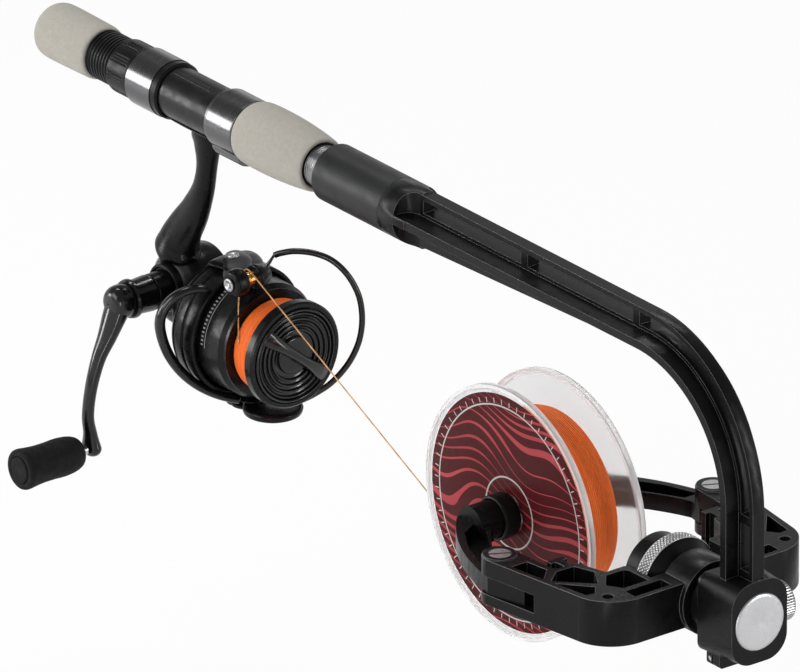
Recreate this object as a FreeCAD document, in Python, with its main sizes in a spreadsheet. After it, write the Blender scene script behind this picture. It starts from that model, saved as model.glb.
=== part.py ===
import FreeCAD, Part

import math
import os

import Sketcher
from FreeCAD import Placement, Rotation, Vector

# Fishing line winder: a rod handle with its reel seat, a one-piece arm that bends down to a hub,
# and a yoke that swivels on the hub and holds a filler spool between two sprung levers.
# A spinning reel is clamped in the seat, and its line runs to the filler spool.
#
# Frame, in millimetres: +X along the handle from butt to arm, +Z up, the reel hangs at -Z,
# and the origin is on the handle's axis at the middle of the butt grip's straight wall.

DIMENSIONS = {
    # handle, measured along X
    "butt_back": 21, "grip_front": 21, "grip_radius": 13.1, "grip_round": 5,
    "core_radius": 8, "core_front": 190, "seat_radius": 11.8, "thread_radius": 11.5,
    "thread_root": 10.6, "thread_front": 35, "nut_front": 49, "nut_radius": 12.7,
    "hood_front": 72, "hood_radius": 13.6, "hood_bore": 11.88, "lip_back": 67.5,
    "fixed_hood_back": 102, "fixed_hood_front": 127, "fixed_hood_radius": 14,
    "fore_grip_front": 172, "fore_grip_radius": 15, "fore_grip_end_radius": 13.8,
    "ring_front": 176, "ring_radius": 12.2, "ferrule_radius": 9.7, "ferrule_front": 204,
    "sleeve_back": 184, "sleeve_front": 232, "sleeve_radius": 13.5, "foot_top": 8.9,
    # arm
    "spigot_back": 206, "collar_end": 243, "collar_tail": 251, "notch_round": 7,
    "bend_start": 412, "bend_radius": 72, "arm_top": 12.9,
    "web_half": 3.2, "web_height": 10, "shelf_thick": 4, "shelf_half": 13,
    "shelf_half_bend": 12.3, "shelf_half_leg": 10.2, "rib_start": 12.5, "rib_depth": 5,
    "slot_top": 2.4, "slot_height": 6,
    # hub, on an axis parallel to X
    "hub_drop": 109.5, "hub_back": 461, "hub_front": 485, "hub_half_width": 15.4,
    "hub_half_height": 19.4, "cap_radius": 13.35, "axle_radius": 5, "thumb_x": 473,
    # yoke
    "yoke_top": 99.2, "yoke_bottom": 120.7, "yoke_back": 451, "pivot_x": 378, "pivot_y": 59.5,
    "fork_radius": 8, "lever_top": 107.45, "lever_bottom": 115.45,
    "boss_radius": 17.5, "knob_front": 410.5, "knob_back": 436.6, "band_radius": 20.1,
    # filler spool, on an axis parallel to Y
    "spool_x": 328, "flange_radius": 58.5, "flange_face": 14.5, "rim_face": 15.5,
    "spool_bore": 9.3, "arbor_radius": 24, "wound_radius": 43, "label_radius": 54.8,
    # reel
    "reel_drop": 98.5, "crank_x": 74, "crank_drop": 91.5, "bail_x": 119, "bail_radius": 37,
}

doc = FreeCAD.newDocument("line_winder")
sheet = doc.addObject("Spreadsheet::Sheet", "Dims")
for row, (alias, value) in enumerate(DIMENSIONS.items(), 1):
    sheet.set("A%d" % row, alias)
    sheet.set("B%d" % row, str(value))
    sheet.setAlias("B%d" % row, alias)
doc.recompute()

GAP = 0.05          # radial running gap of a shaft in its bore
BAIL_BAR = 1.4      # radius of the bail's wire
LEFT, RIGHT = 1, -1


# ---------------------------------------------------------------- sizes as words

def terms(words):
    """Splits a sum such as 'hub_drop - yoke_top + 2' into (sign, word) pairs."""
    sign, pairs = 1, []
    for word in str(words).split():
        if word in ("+", "-"):
            sign = 1 if word == "+" else -1
            continue
        if word.startswith("-"):
            sign, word = -sign, word[1:]
        pairs.append((sign, word))
        sign = 1
    return pairs


def size(words):
    """The value of a sum of dimensions and numbers."""
    return sum(sign * (float(word) if word[0].isdigit() else float(sheet.get(word)))
               for sign, word in terms(words))


def formula(words):
    """The same sum as an expression on the spreadsheet's cells."""
    return " ".join("%s %s" % ("+" if sign > 0 else "-", word if word[0].isdigit() else "Dims." + word)
                    for sign, word in terms(words)).lstrip("+ ")


def negative(words):
    """The same sum with every sign changed, with a space before it so that it can be added."""
    return "".join(" %s %s" % ("-" if sign > 0 else "+", word) for sign, word in terms(words))


def other_side(corners):
    """An outline mirrored in v, listed backwards so that its arcs keep their turns."""
    flipped = []
    for i in range(len(corners) - 1, -1, -1):
        u, v = corners[i][:2]
        flipped.append((u, negative(v)) + tuple(corners[i - 1][2:]))
    return flipped


def both_sides(half):
    """A whole outline from the half that starts and ends on the mirror line, arcs included."""
    back = [(u, negative(v)) for u, v in [corner[:2] for corner in half[-2:0:-1]]]
    arcs = [half[i][2:] for i in range(len(half) - 2, -1, -1)]
    whole = list(half[:-1]) + [half[-1][:2] + tuple(arcs[0])]
    for corner, arc in zip(back, arcs[1:]):
        whole.append(corner + tuple(arc))
    return whole


# ---------------------------------------------------------------- modelling helpers

AXIS_TURNS = {
    "X": Rotation(),
    "Y": Rotation(Vector(0, 0, 1), 90),
    "Z": Rotation(Vector(0, 1, 0), -90),
}
HUB = ("0", "0", "-hub_drop")
REEL = ("0", "0", "-reel_drop")
SPOOL = ("spool_x", "0", "-hub_drop")
CRANK = ("crank_x", "0", "-crank_drop")


def place(item, at, turn="X"):
    """Turns a piece and ties its position to the spreadsheet."""
    item.Placement = Placement(Vector(*[size(words) for words in at]), AXIS_TURNS[turn])
    for axis, words in zip("xyz", at):
        item.setExpression("Placement.Base." + axis, formula(words))


def new_body(label):
    body = doc.addObject("PartDesign::Body", label)
    body.Label = label
    return body


def new_sketch(body, plane, name, lift="0"):
    """An empty sketch on one of the body's own origin planes, raised along its normal."""
    sketch = body.newObject("Sketcher::SketchObject", name)
    flat = [item for item in body.Origin.OriginFeatures if item.Role == plane][0]
    sketch.AttachmentSupport = (flat, [""])
    sketch.MapMode = "FlatFace"
    sketch.AttachmentOffset = Placement(Vector(0, 0, size(lift)), Rotation())
    sketch.setExpression("AttachmentOffset.Base.z", formula(lift))
    return sketch


def draw(sketch, corners):
    """A closed outline, each corner tied to its cells.

    A corner is (u, v), or (u, v, radius, LEFT or RIGHT) where an arc of under half a turn, or of
    just half a turn, leads on to the next corner.
    """
    first = sketch.GeometryCount
    spots = [Vector(size(corner[0]), size(corner[1]), 0) for corner in corners]
    ends = []
    for i, corner in enumerate(corners):
        start, end = spots[i], spots[(i + 1) % len(spots)]
        if len(corner) == 2:
            sketch.addGeometry(Part.LineSegment(start, end), False)
            ends.append((1, 2))
            continue
        radius, way = size(corner[2]), corner[3]
        chord = end - start
        side = Vector(-chord.y, chord.x, 0).normalize() * way
        reach = math.sqrt(max(radius ** 2 - chord.Length ** 2 / 4, 0))
        peak = (start + end) / 2 + side * (reach - radius)
        sketch.addGeometry(Part.Arc(start, peak, end), False)
        ends.append((1, 2) if way == LEFT else (2, 1))
    for i, corner in enumerate(corners):
        follow = (i + 1) % len(corners)
        for kind, words in (("DistanceX", corner[0]), ("DistanceY", corner[1])):
            tie = sketch.addConstraint(
                Sketcher.Constraint(kind, -1, 1, first + i, ends[i][0], size(words)))
            sketch.setExpression("Constraints[%d]" % tie, formula(words))
        sketch.addConstraint(Sketcher.Constraint(
            "Coincident", first + i, ends[i][1], first + follow, ends[follow][0]))


def circle(radius, u="0", v="0"):
    """A full circle as two arcs."""
    return [(u + " + " + radius, v, radius, LEFT), (u + negative(radius), v, radius, LEFT)]


def rectangle(u_low, v_low, u_high, v_high):
    return [(u_low, v_low), (u_high, v_low), (u_high, v_high), (u_low, v_high)]


def turned(label, profile, at=("0", "0", "0"), turn="X"):
    """A piece turned on a lathe: profile corners are (along the axis, radius)."""
    body = new_body(label)
    sketch = new_sketch(body, "XZ_Plane", label + "_profile")
    draw(sketch, profile)
    lathe = body.newObject("PartDesign::Revolution", label + "_turn")
    lathe.Profile = sketch
    lathe.ReferenceAxis = (sketch, ["H_Axis"])
    lathe.Angle = 360
    body.Tip = lathe
    place(body, at, turn)
    return body


def pad(body, plane, name, outlines, thick, lift="0", way="Symmetric"):
    """Adds outlines of one thickness. way is Symmetric, along or against the plane's normal."""
    sketch = new_sketch(body, plane, name + "_outline", lift)
    for outline in outlines:
        draw(sketch, outline)
    block = body.newObject("PartDesign::Pad", name)
    block.Profile = sketch
    block.SideType = "Symmetric" if way == "Symmetric" else "One side"
    block.Reversed = way == "against"
    block.Length = size(thick)
    block.setExpression("Length", formula(thick))
    body.Tip = block
    return block


def pocket(body, plane, name, outlines, deep, lift="0", way="Symmetric"):
    """Cuts outlines out of a body, and makes sure that something was removed."""
    doc.recompute()
    before = body.Tip.Shape.Volume
    sketch = new_sketch(body, plane, name + "_outline", lift)
    for outline in outlines:
        draw(sketch, outline)
    cut = body.newObject("PartDesign::Pocket", name)
    cut.Profile = sketch
    cut.SideType = "Symmetric" if way == "Symmetric" else "One side"
    cut.Reversed = way == "along"
    cut.Length = size(deep)
    cut.setExpression("Length", formula(deep))
    body.Tip = cut
    doc.recompute()
    if not cut.Shape.Volume < before - 0.01:
        raise ValueError("%s removes nothing" % name)
    return cut


def feature(label, shape):
    """A piece whose form suits neither a body nor a primitive."""
    piece = doc.addObject("Part::Feature", label)
    piece.Label = label
    piece.Shape = shape
    return piece


def rod(start, end, radius):
    """A round bar from one point to another."""
    return Part.makeCylinder(radius, (end - start).Length, start, end - start)


def box(low, high):
    return Part.makeBox(high.x - low.x, high.y - low.y, high.z - low.z, low)


def oval(centre, across, up, half_across, half_up):
    """An oval wire about a centre, for lofts."""
    longer = (across, half_across) if half_across >= half_up else (up, half_up)
    normal = across.cross(up)
    curve = Part.Ellipse(centre + longer[0] * longer[1],
                         centre + (normal.cross(longer[0])) * min(half_across, half_up), centre)
    if abs(half_across - half_up) < 1e-6:
        curve = Part.Circle(centre, normal, half_up)
    return Part.Wire([curve.toShape()])


# ---------------------------------------------------------------- handle

def make_handle():
    bore = "core_radius + 0.05"
    turned("butt_grip", [
        ("-butt_back", "0"), ("-butt_back", "grip_radius - grip_round", "grip_round", RIGHT),
        ("-butt_back + grip_round", "grip_radius"),
        ("grip_front - grip_round", "grip_radius", "grip_round", RIGHT),
        ("grip_front", "grip_radius - grip_round"), ("grip_front", bore),
        ("-butt_back + grip_round", bore), ("-butt_back + grip_round", "0")])
    turned("rod_core", [
        ("-butt_back + grip_round + 0.1", "core_radius - 2"),
        ("-butt_back + grip_round + 0.1", "core_radius"),
        ("core_front", "core_radius"), ("core_front", "core_radius - 2")])
    make_reel_seat(bore)
    turned("lock_nut", [
        ("thread_front", "thread_radius + 0.1"), ("thread_front", "nut_radius - 0.8"),
        ("thread_front + 0.8", "nut_radius"), ("nut_front - 0.3", "nut_radius"),
        ("nut_front", "nut_radius - 0.3"), ("nut_front", "thread_radius + 0.1")])
    turned("hood_ring", [
        ("nut_front + 0.3", "hood_bore"), ("nut_front + 0.3", "hood_radius - 0.8"),
        ("nut_front + 1.1", "hood_radius"), ("lip_back", "hood_radius"),
        ("lip_back", "hood_bore")])
    turned("hood_lip", [
        ("lip_back + 0.05", "hood_bore"), ("lip_back + 0.05", "hood_radius - 0.3"),
        ("hood_front - 1", "hood_radius - 0.3"), ("hood_front", "hood_radius - 1.1"),
        ("hood_front", "hood_bore")])
    hood = turned("fixed_hood", [
        ("fixed_hood_back", "seat_radius + 0.05"), ("fixed_hood_back", "fixed_hood_radius - 1"),
        ("fixed_hood_back + 1", "fixed_hood_radius"),
        ("fixed_hood_front - 0.05", "fixed_hood_radius"),
        ("fixed_hood_front - 0.05", "seat_radius + 0.05")])
    pad(hood, "YZ_Plane", "foot_swell", [[
        ("-8.6", "-10.6"), ("-6.2", "-16.2"), ("-5", "-17"), ("5", "-17"), ("6.2", "-16.2"),
        ("8.6", "-10.6"), ("4.5", "-12.2"), ("0", "-13"), ("-4.5", "-12.2")]],
        "fixed_hood_front - fixed_hood_back - 0.55", "fixed_hood_back + 0.5", "along")
    turned("fore_grip", [
        ("fixed_hood_front", bore), ("fixed_hood_front", "fore_grip_radius - 1.5", "1.5", RIGHT),
        ("fixed_hood_front + 1.5", "fore_grip_radius"),
        ("fore_grip_front - 4", "fore_grip_end_radius", "4", RIGHT),
        ("fore_grip_front", "fore_grip_end_radius - 4"), ("fore_grip_front", bore)])
    turned("grip_ring", [
        ("fore_grip_front + 0.05", bore), ("fore_grip_front + 0.05", "ring_radius - 2"),
        ("fore_grip_front + 1", "ring_radius"), ("ring_front - 1", "ring_radius"),
        ("ring_front", "ring_radius - 1"), ("ring_front", bore)])
    turned("ferrule", [
        ("ring_front + 0.05", bore), ("ring_front + 0.05", "ferrule_radius"),
        ("ferrule_front", "ferrule_radius"), ("ferrule_front", bore)])
    turned("arm_sleeve", [
        ("sleeve_back", "ferrule_radius + 0.05"), ("sleeve_back", "sleeve_radius - 1.2"),
        ("sleeve_back + 1.2", "sleeve_radius"), ("sleeve_front - 0.05", "sleeve_radius"),
        ("sleeve_front - 0.05", "ferrule_radius + 0.05")])


def make_reel_seat(bore):
    """The seat tube: thread ridges at the back, and a flat channel below for the reel's foot."""
    ridges, ridge_count, pitch = [], 7, 2
    for i in range(ridge_count):
        back = "grip_front + %g" % (0.6 + i * pitch)
        ridges += [(back, "thread_root"), (back + " + 0.5", "thread_radius"),
                   (back + " + 1.2", "thread_radius"), (back + " + 1.7", "thread_root")]
    seat = turned("reel_seat", [("grip_front + 0.05", bore), ("grip_front + 0.05", "thread_root")]
                  + ridges + [
        ("thread_front + 1", "thread_root"), ("thread_front + 1", "thread_radius"),
        ("hood_front - 6", "thread_radius"), ("hood_front - 6", "seat_radius"),
        ("fixed_hood_front - 0.05", "seat_radius"), ("fixed_hood_front - 0.05", bore)])
    pocket(seat, "XZ_Plane", "foot_channel",
           [rectangle("hood_front - 12.5", "-seat_radius - 2", "fixed_hood_front - 8",
                      "-foot_top")], "40")


# ---------------------------------------------------------------- arm and hub

def make_arm():
    arm = new_body("arm")
    bend_z = "arm_top - bend_radius"
    under = "arm_top - web_height - shelf_thick"
    leg_out = "bend_start + bend_radius"
    leg_in = leg_out + " - web_height - shelf_thick"
    pad(arm, "XZ_Plane", "web", [[
        ("collar_end - 2", "-rib_start"), ("bend_start", under + " - rib_depth",
                                           "bend_radius - web_height - shelf_thick - rib_depth",
                                           RIGHT),
        (leg_in + " - rib_depth", bend_z), (leg_in, "-84"), (leg_in, "-93"), (leg_out, "-93"),
        (leg_out, bend_z, "bend_radius", LEFT), ("bend_start", "arm_top"),
        ("collar_end - 2", "arm_top")]], "web_half + web_half")
    pad(arm, "XZ_Plane", "shelf", [[
        ("collar_end - 2", under),
        ("bend_start", under, "bend_radius - web_height - shelf_thick", RIGHT),
        (leg_in, bend_z), (leg_in, "-93"), (leg_out + " - web_height", "-93"),
        (leg_out + " - web_height", bend_z, "bend_radius - web_height", LEFT),
        ("bend_start", "arm_top - web_height"), ("collar_end - 2", "arm_top - web_height")]],
        "shelf_half + shelf_half")
    doc.recompute()
    beside = [("collar_end + 4", "shelf_half"), ("bend_start", "shelf_half_bend"),
              ("bend_start + 56", "shelf_half_leg"), (leg_out + " + 6", "shelf_half_leg"),
              (leg_out + " + 6", "shelf_half + 3"), ("collar_end + 4", "shelf_half + 3")]
    pocket(arm, "XY_Plane", "shelf_taper", [beside, other_side(beside)], "400")
    pad(arm, "YZ_Plane", "collar", [circle("sleeve_radius")], "collar_tail - sleeve_front",
        "sleeve_front", "along")
    doc.recompute()
    notch = [("collar_end", "shelf_half + 2"), ("collar_end", "web_half + notch_round",
                                                "notch_round", LEFT),
             ("collar_end + notch_round", "web_half"), ("collar_tail + 4", "web_half"),
             ("collar_tail + 4", "shelf_half + 2")]
    pocket(arm, "XY_Plane", "upper_notch", [notch, other_side(notch)], "14",
           "arm_top - web_height", "along")
    pocket(arm, "XY_Plane", "lower_notch", [notch, other_side(notch)], "16", under, "against")
    pad(arm, "YZ_Plane", "spigot", [circle("ferrule_radius")], "sleeve_front - spigot_back",
        "spigot_back", "along")
    cut_arm_slots(arm, bend_z, leg_out)
    add_hub(arm)


def cut_arm_slots(arm, bend_z, leg_out):
    """Four long windows in the web, the third of them following the bend."""
    top, low = "arm_top - slot_top", "arm_top - slot_top - slot_height"
    far, near = leg_out + " - slot_top", leg_out + " - slot_top - slot_height"
    around = [("bend_start - 7.5", low), ("bend_start", low, "bend_radius - slot_top - slot_height",
                                          RIGHT),
              (near, bend_z), (near, "-60.4"), (far, "-60.4"),
              (far, bend_z, "bend_radius - slot_top", LEFT), ("bend_start", top),
              ("bend_start - 7.5", top)]
    pocket(arm, "XZ_Plane", "web_slots", [
        rectangle("collar_tail + 1", low, "bend_start - 90.5", top),
        rectangle("bend_start - 86", low, "bend_start - 12", top), around,
        rectangle(near, "-86.5", far, "-64.8")], "web_half + web_half + 0.2")


def rounded(half_width, half_height, corner, middle="0"):
    """A rectangle with round corners, centred on the given height."""
    right, left = half_width, negative(half_width)
    top, bottom = middle + " + " + half_height, middle + negative(half_height)
    inset_right, inset_left = right + negative(corner), left + " + " + corner
    inset_top, inset_bottom = top + negative(corner), bottom + " + " + corner
    return [(right, inset_bottom), (right, inset_top, corner, LEFT), (inset_right, top),
            (inset_left, top, corner, LEFT), (left, inset_top), (left, inset_bottom, corner, LEFT),
            (inset_left, bottom), (inset_right, bottom, corner, LEFT)]


def add_hub(arm):
    """The swivel housing at the arm's foot, with its lug, bores and cap recess."""
    back = new_sketch(arm, "YZ_Plane", "hub_back_outline", "hub_back")
    draw(back, rounded("hub_half_width", "hub_half_height - 0.8", "5", "-hub_drop"))
    front = new_sketch(arm, "YZ_Plane", "hub_front_outline", "hub_front")
    draw(front, rounded("hub_half_width", "hub_half_height", "11", "-hub_drop"))
    loft = arm.newObject("PartDesign::AdditiveLoft", "hub_block")
    loft.Profile = back
    loft.Sections = [front]
    arm.Tip = loft
    lug_back, lug_front = "hub_back + 3.5", "hub_back + 12.5"
    lug = [("-13", "-126"), ("-13", "-131", "2", LEFT), ("-11", "-133"), ("11", "-133", "2", LEFT),
           ("13", "-131"), ("13", "-126")]
    pad(arm, "YZ_Plane", "lug", [lug], "9", lug_back, "along")
    pocket(arm, "XZ_Plane", "lug_slit",
           [rectangle(lug_back + " + 3.6", "-135", lug_back + " + 4.4", "-127.6")], "40")
    pocket(arm, "XZ_Plane", "lug_bore", [circle("1.3", "hub_back + 5.4", "-130")], "10",
           "13.5", "against")
    pocket(arm, "YZ_Plane", "axle_bore", [circle("axle_radius + 0.05", "0", "-hub_drop")],
           "19.5", "hub_back - 0.5", "along")
    pocket(arm, "YZ_Plane", "cap_recess", [circle("cap_radius + 0.05", "0", "-hub_drop")],
           "1.6", "hub_front", "against")
    pocket(arm, "XZ_Plane", "thumb_bore", [circle("2.6", "thumb_x", "-hub_drop")],
           "hub_half_width - axle_radius + 1", "-hub_half_width - 0.5", "along")


def make_hub_pieces():
    turned("hub_cap", [
        ("hub_front - 1.55", "0"), ("hub_front - 1.55", "cap_radius"),
        ("hub_front + 0.1", "cap_radius"), ("hub_front + 0.6", "cap_radius - 0.6"),
        ("hub_front + 0.8", "cap_radius - 5"), ("hub_front + 0.9", "0")], HUB)
    turned("swivel_axle", [
        ("knob_front + 8", "0"), ("knob_front + 8", "axle_radius - 0.8"),
        ("knob_front + 8.8", "axle_radius"), ("hub_back + 18.2", "axle_radius"),
        ("hub_back + 18.9", "axle_radius - 0.7"), ("hub_back + 18.9", "0")], HUB)
    turned("swivel_washer", [
        ("yoke_back + 2.7", "axle_radius + 0.1"), ("yoke_back + 2.7", "13"),
        ("yoke_back + 4", "14.6"), ("hub_back - 0.1", "15"),
        ("hub_back - 0.1", "axle_radius + 0.1")], HUB)
    turned("lug_screw", [("-12.6", "0"), ("-12.6", "1.25"), ("-4", "1.25"), ("-4", "0")],
           ("hub_back + 5.4", "0", "-130"), "Y")
    turned("thumb_screw", [
        ("axle_radius + 0.3", "0"), ("axle_radius + 0.3", "2.5"),
        ("hub_half_width + 0.3", "2.5"), ("hub_half_width + 0.3", "8.4"),
        ("hub_half_width + 1", "9.2"), ("hub_half_width + 4.5", "9.2"),
        ("hub_half_width + 5.2", "8.4"), ("hub_half_width + 5.2", "0")],
        ("thumb_x", "0", "-hub_drop"), "Y")


# ---------------------------------------------------------------- yoke, knob and levers

def make_yoke():
    yoke = new_body("yoke")
    half = [("yoke_back", "0"), ("yoke_back", "40", "20", LEFT), ("yoke_back - 18", "59.6"),
            ("pivot_x + 1.2", "pivot_y + 7.9", "fork_radius", LEFT),
            ("pivot_x - fork_radius", "pivot_y", "fork_radius", LEFT),
            ("pivot_x", "pivot_y - fork_radius"), ("pivot_x + 25", "50.2"), ("405", "48"),
            ("405", "45"), ("399", "45"), ("399", "47.5"), ("396", "47.5"), ("396", "38.5"),
            ("399", "38.5"), ("399", "41"), ("405", "41"), ("405", "38.5"), ("419", "34.5"),
            ("420.5", "33"), ("420.5", "24"), ("422", "22.3"), ("437", "22.3"), ("437", "0")]
    pad(yoke, "XY_Plane", "frame", [both_sides(half)], "yoke_bottom - yoke_top",
        "-yoke_bottom", "along")
    pad(yoke, "YZ_Plane", "boss", [circle("boss_radius", "0", "-hub_drop")],
        "yoke_back + 2.5 - 437", "437", "along")
    rings = [circle("7.6", "pivot_x", "pivot_y"), circle("7.6", "pivot_x", "-pivot_y")]
    pad(yoke, "XY_Plane", "screw_rings", rings, "1.8", "-yoke_top - 1", "along")
    slot = [("366", "47"), ("392", "47"), ("407", "56"), ("407", "72"), ("366", "72")]
    pocket(yoke, "XY_Plane", "lever_slots", [slot, other_side(slot)],
           "lever_bottom - lever_top + 0.5", "-lever_bottom - 0.25", "along")
    small = [("391", "54.6"), ("403", "53"), ("410", "60.4"), ("391", "63.2")]
    pocket(yoke, "XY_Plane", "arm_pockets", [small, other_side(small)], "5.5",
           "-yoke_top", "against")
    deep = [[("407", "51"), ("407.5", "41.5"), ("417.5", "38"), ("428", "44.5"), ("413.5", "58.8")],
            [("416.5", "59"), ("430", "47.5"), ("435", "51.5"), ("434.5", "56")],
            [("423.5", "36.3"), ("423.5", "26.5"), ("426", "25"), ("438.5", "25"), ("438.5", "38.5"),
             ("431.5", "43")],
            [("441.5", "20"), ("448.4", "20"), ("448.4", "40"), ("441.5", "40")]]
    pocket(yoke, "XY_Plane", "frame_pockets", deep + [other_side(loop) for loop in deep], "13",
           "-yoke_top", "against")
    holes = [circle("2.6", "441", "49.4"), circle("2.6", "441", "-49.4")]
    pocket(yoke, "XY_Plane", "corner_holes", holes, "12", "-yoke_top", "against")
    pivots = [("pivot_x", "pivot_y"), ("pivot_x", "-pivot_y")]
    pocket(yoke, "XY_Plane", "head_seats", [circle("5.1", u, v) for u, v in pivots], "3",
           "-yoke_top - 0.9", "along")
    pocket(yoke, "XY_Plane", "pivot_bores", [circle("2.6", u, v) for u, v in pivots], "60",
           "-hub_drop")
    pocket(yoke, "XY_Plane", "nut_seats", [circle("4.8", u, v) for u, v in pivots], "3.6",
           "-yoke_bottom", "along")
    pocket(yoke, "YZ_Plane", "bush_bore", [circle("7.55", "0", "-hub_drop")], "30",
           "430", "along")
    feature("yoke_bushes", Part.makeCompound([
        tube(Vector(start, 0, -size("hub_drop")), Vector(1, 0, 0), 5.8, 7.5,
             size("axle_radius") + GAP) for start in (437.2, 447.4)]))
    make_pivot_hardware()


def tube(start, direction, length, outer, inner):
    return Part.makeCylinder(outer, length, start, direction).cut(
        Part.makeCylinder(inner, length, start, direction))


def make_pivot_hardware():
    """The two slotted pivot screws, their nuts below, and the coil packs that close the levers."""
    screws, nuts, springs = [], [], []
    for side in (1, -1):
        axis = Vector(size("pivot_x"), side * size("pivot_y"), 0)
        head_top = -size("yoke_top") + 0.7
        head = Part.makeCylinder(4.9, 1.5, axis + Vector(0, 0, head_top - 1.5))
        slot = box(Vector(-6, -0.55, head_top - 0.8), Vector(6, 0.55, head_top + 1))
        slot.rotate(Vector(), Vector(0, 0, 1), 62)
        shank = rod(axis + Vector(0, 0, -119.6), axis + Vector(0, 0, head_top - 1.2), 2.5)
        screws.append(head.cut(slot.translated(axis)).fuse(shank))
        corners = [axis + Vector(4.6 * math.cos(a * math.pi / 3), 4.6 * math.sin(a * math.pi / 3),
                                 -120.6) for a in range(7)]
        nut = Part.Face(Part.makePolygon(corners)).extrude(Vector(0, 0, 3.3))
        nuts.append(nut.cut(rod(axis + Vector(0, 0, -122), axis + Vector(0, 0, -110), 2.56)))
        springs.append(tube(axis + Vector(0, 0, -115.3), Vector(0, 0, 1), 2.6, 5, 3.9))
    feature("pivot_screws", Part.makeCompound(screws))
    feature("pivot_nuts", Part.makeCompound(nuts))
    feature("lever_springs", Part.makeCompound(springs))


def make_lock_knob():
    turned("lock_knob", [
        ("knob_front", "0"), ("knob_front", "15.5"), ("knob_front + 1", "16.5"),
        ("knob_front + 11.6", "16.5"), ("knob_front + 11.6", "19"), ("knob_front + 12", "19.3"),
        ("knob_front + 12", "18"), ("knob_front + 19.1", "18"), ("knob_front + 19.1", "19.3"),
        ("knob_front + 19.6", "18.8"), ("knob_back", "11.5"),
        ("knob_back", "axle_radius + 0.05"), ("knob_front + 7.5", "axle_radius + 0.05"),
        ("knob_front + 7.5", "0")], HUB)
    turned("knob_band", [
        ("knob_front + 12.05", "18.05"), ("knob_front + 12.05", "band_radius - 0.5"),
        ("knob_front + 12.6", "band_radius"), ("knob_front + 18.5", "band_radius"),
        ("knob_front + 19.05", "band_radius - 0.5"), ("knob_front + 19.05", "18.05")], HUB)


def make_lever(label, side):
    """A curved clamp lever: knuckle and tail in the yoke's slot, arm, and boss on the spool axis."""
    def facing(corners):
        return corners if side > 0 else other_side(corners)

    lever = new_body("lever_" + label)
    outline = [("pivot_x + 21", "pivot_y + 2.8"), ("pivot_x + 1", "pivot_y + 7.5", "110", LEFT),
               ("spool_x - 6.5", "39"), ("spool_x - 8.7", "36"), ("spool_x - 8.7", "30"),
               ("spool_x + 8.7", "30"), ("spool_x + 9.2", "31.5", "95", RIGHT),
               ("pivot_x - 7", "53.2"), ("pivot_x", "pivot_y - 7.6"), ("pivot_x + 8", "53.4"),
               ("pivot_x + 21", "pivot_y - 2.8")]
    pad(lever, "XY_Plane", "arm_plate_" + label, [facing(outline)], "lever_bottom - lever_top",
        "-lever_bottom", "along")
    middle = "-27.1" if side > 0 else "27.1"
    pad(lever, "XZ_Plane", "tip_boss_" + label, [circle("8.7", "spool_x", "-hub_drop")], "18.8",
        middle)
    well = [("spool_x + 3", "36.6"), ("spool_x + 11", "36.2"), ("352", "44.8"), ("366", "53"),
            ("366", "60.5"), ("350", "54.6"), ("336", "46")]
    pocket(lever, "XY_Plane", "arm_well_" + label, [facing(well)], "5.5", "-lever_top", "against")
    pivot_y = "pivot_y" if side > 0 else "-pivot_y"
    pocket(lever, "XY_Plane", "lever_bore_" + label, [circle("2.55", "pivot_x", pivot_y)], "60",
           "-hub_drop")
    pocket(lever, "XY_Plane", "spring_seat_" + label, [circle("5.2", "pivot_x", pivot_y)], "3",
           "-lever_bottom", "along")
    pocket(lever, "XZ_Plane", "pin_bore_" + label, [circle("2.01", "spool_x", "-hub_drop")], "20",
           "-22" if side > 0 else "22")
    ends = [(9.2, 0), (9.2, 2), (31.9, 2), (31.9, 0)]
    turned("cone_pin_" + label, [(str(side * along), str(radius)) for along, radius in ends],
           SPOOL, "Y")
    cone = [(17.4, 2.05), (17.4, 10.3), (15.9, 10.3), (15.6, 9), (14.4, 8.8), (12.5, 7.2),
            (10.5, 5.2), (9.4, 3.9), (9.4, 2.05)]
    turned("cone_" + label, [(str(side * along), str(radius)) for along, radius in cone],
           SPOOL, "Y")


# ---------------------------------------------------------------- filler spool

def make_filler_spool():
    """A clear one-piece spool, cored from behind, with its winding and its face label."""
    turned("filler_spool", [
        ("-rim_face", "flange_radius"), ("-rim_face", "flange_radius - 1.6"),
        ("-flange_face", "flange_radius - 2.6"), ("-flange_face", "spool_bore"),
        ("flange_face", "spool_bore"), ("flange_face", "spool_bore + 2"),
        ("-flange_face + 1.6", "spool_bore + 2"), ("-flange_face + 1.6", "arbor_radius - 1.8"),
        ("flange_face", "arbor_radius - 1.8"), ("flange_face", "flange_radius - 2.6"),
        ("rim_face", "flange_radius - 1.6"), ("rim_face", "flange_radius"),
        ("flange_face - 1.9", "flange_radius"), ("flange_face - 1.4", "flange_radius - 1.2"),
        ("flange_face - 1.4", "arbor_radius"), ("-flange_face + 1.4", "arbor_radius"),
        ("-flange_face + 1.4", "flange_radius - 1.2"), ("-flange_face + 1.9", "flange_radius")],
        SPOOL, "Y")
    turned("filler_line", [
        ("-flange_face + 1.45", "arbor_radius + 0.05"), ("-flange_face + 1.45", "wound_radius - 1"),
        ("-flange_face + 4", "wound_radius"), ("flange_face - 4", "wound_radius"),
        ("flange_face - 1.45", "wound_radius - 1"), ("flange_face - 1.45", "arbor_radius + 0.05")],
        SPOOL, "Y")
    turned("spool_label", [
        ("-flange_face - 0.35", "10.8"), ("-flange_face - 0.35", "label_radius"),
        ("-flange_face - 0.03", "label_radius"), ("-flange_face - 0.03", "10.8")], SPOOL, "Y")


# ---------------------------------------------------------------- reel body

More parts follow.
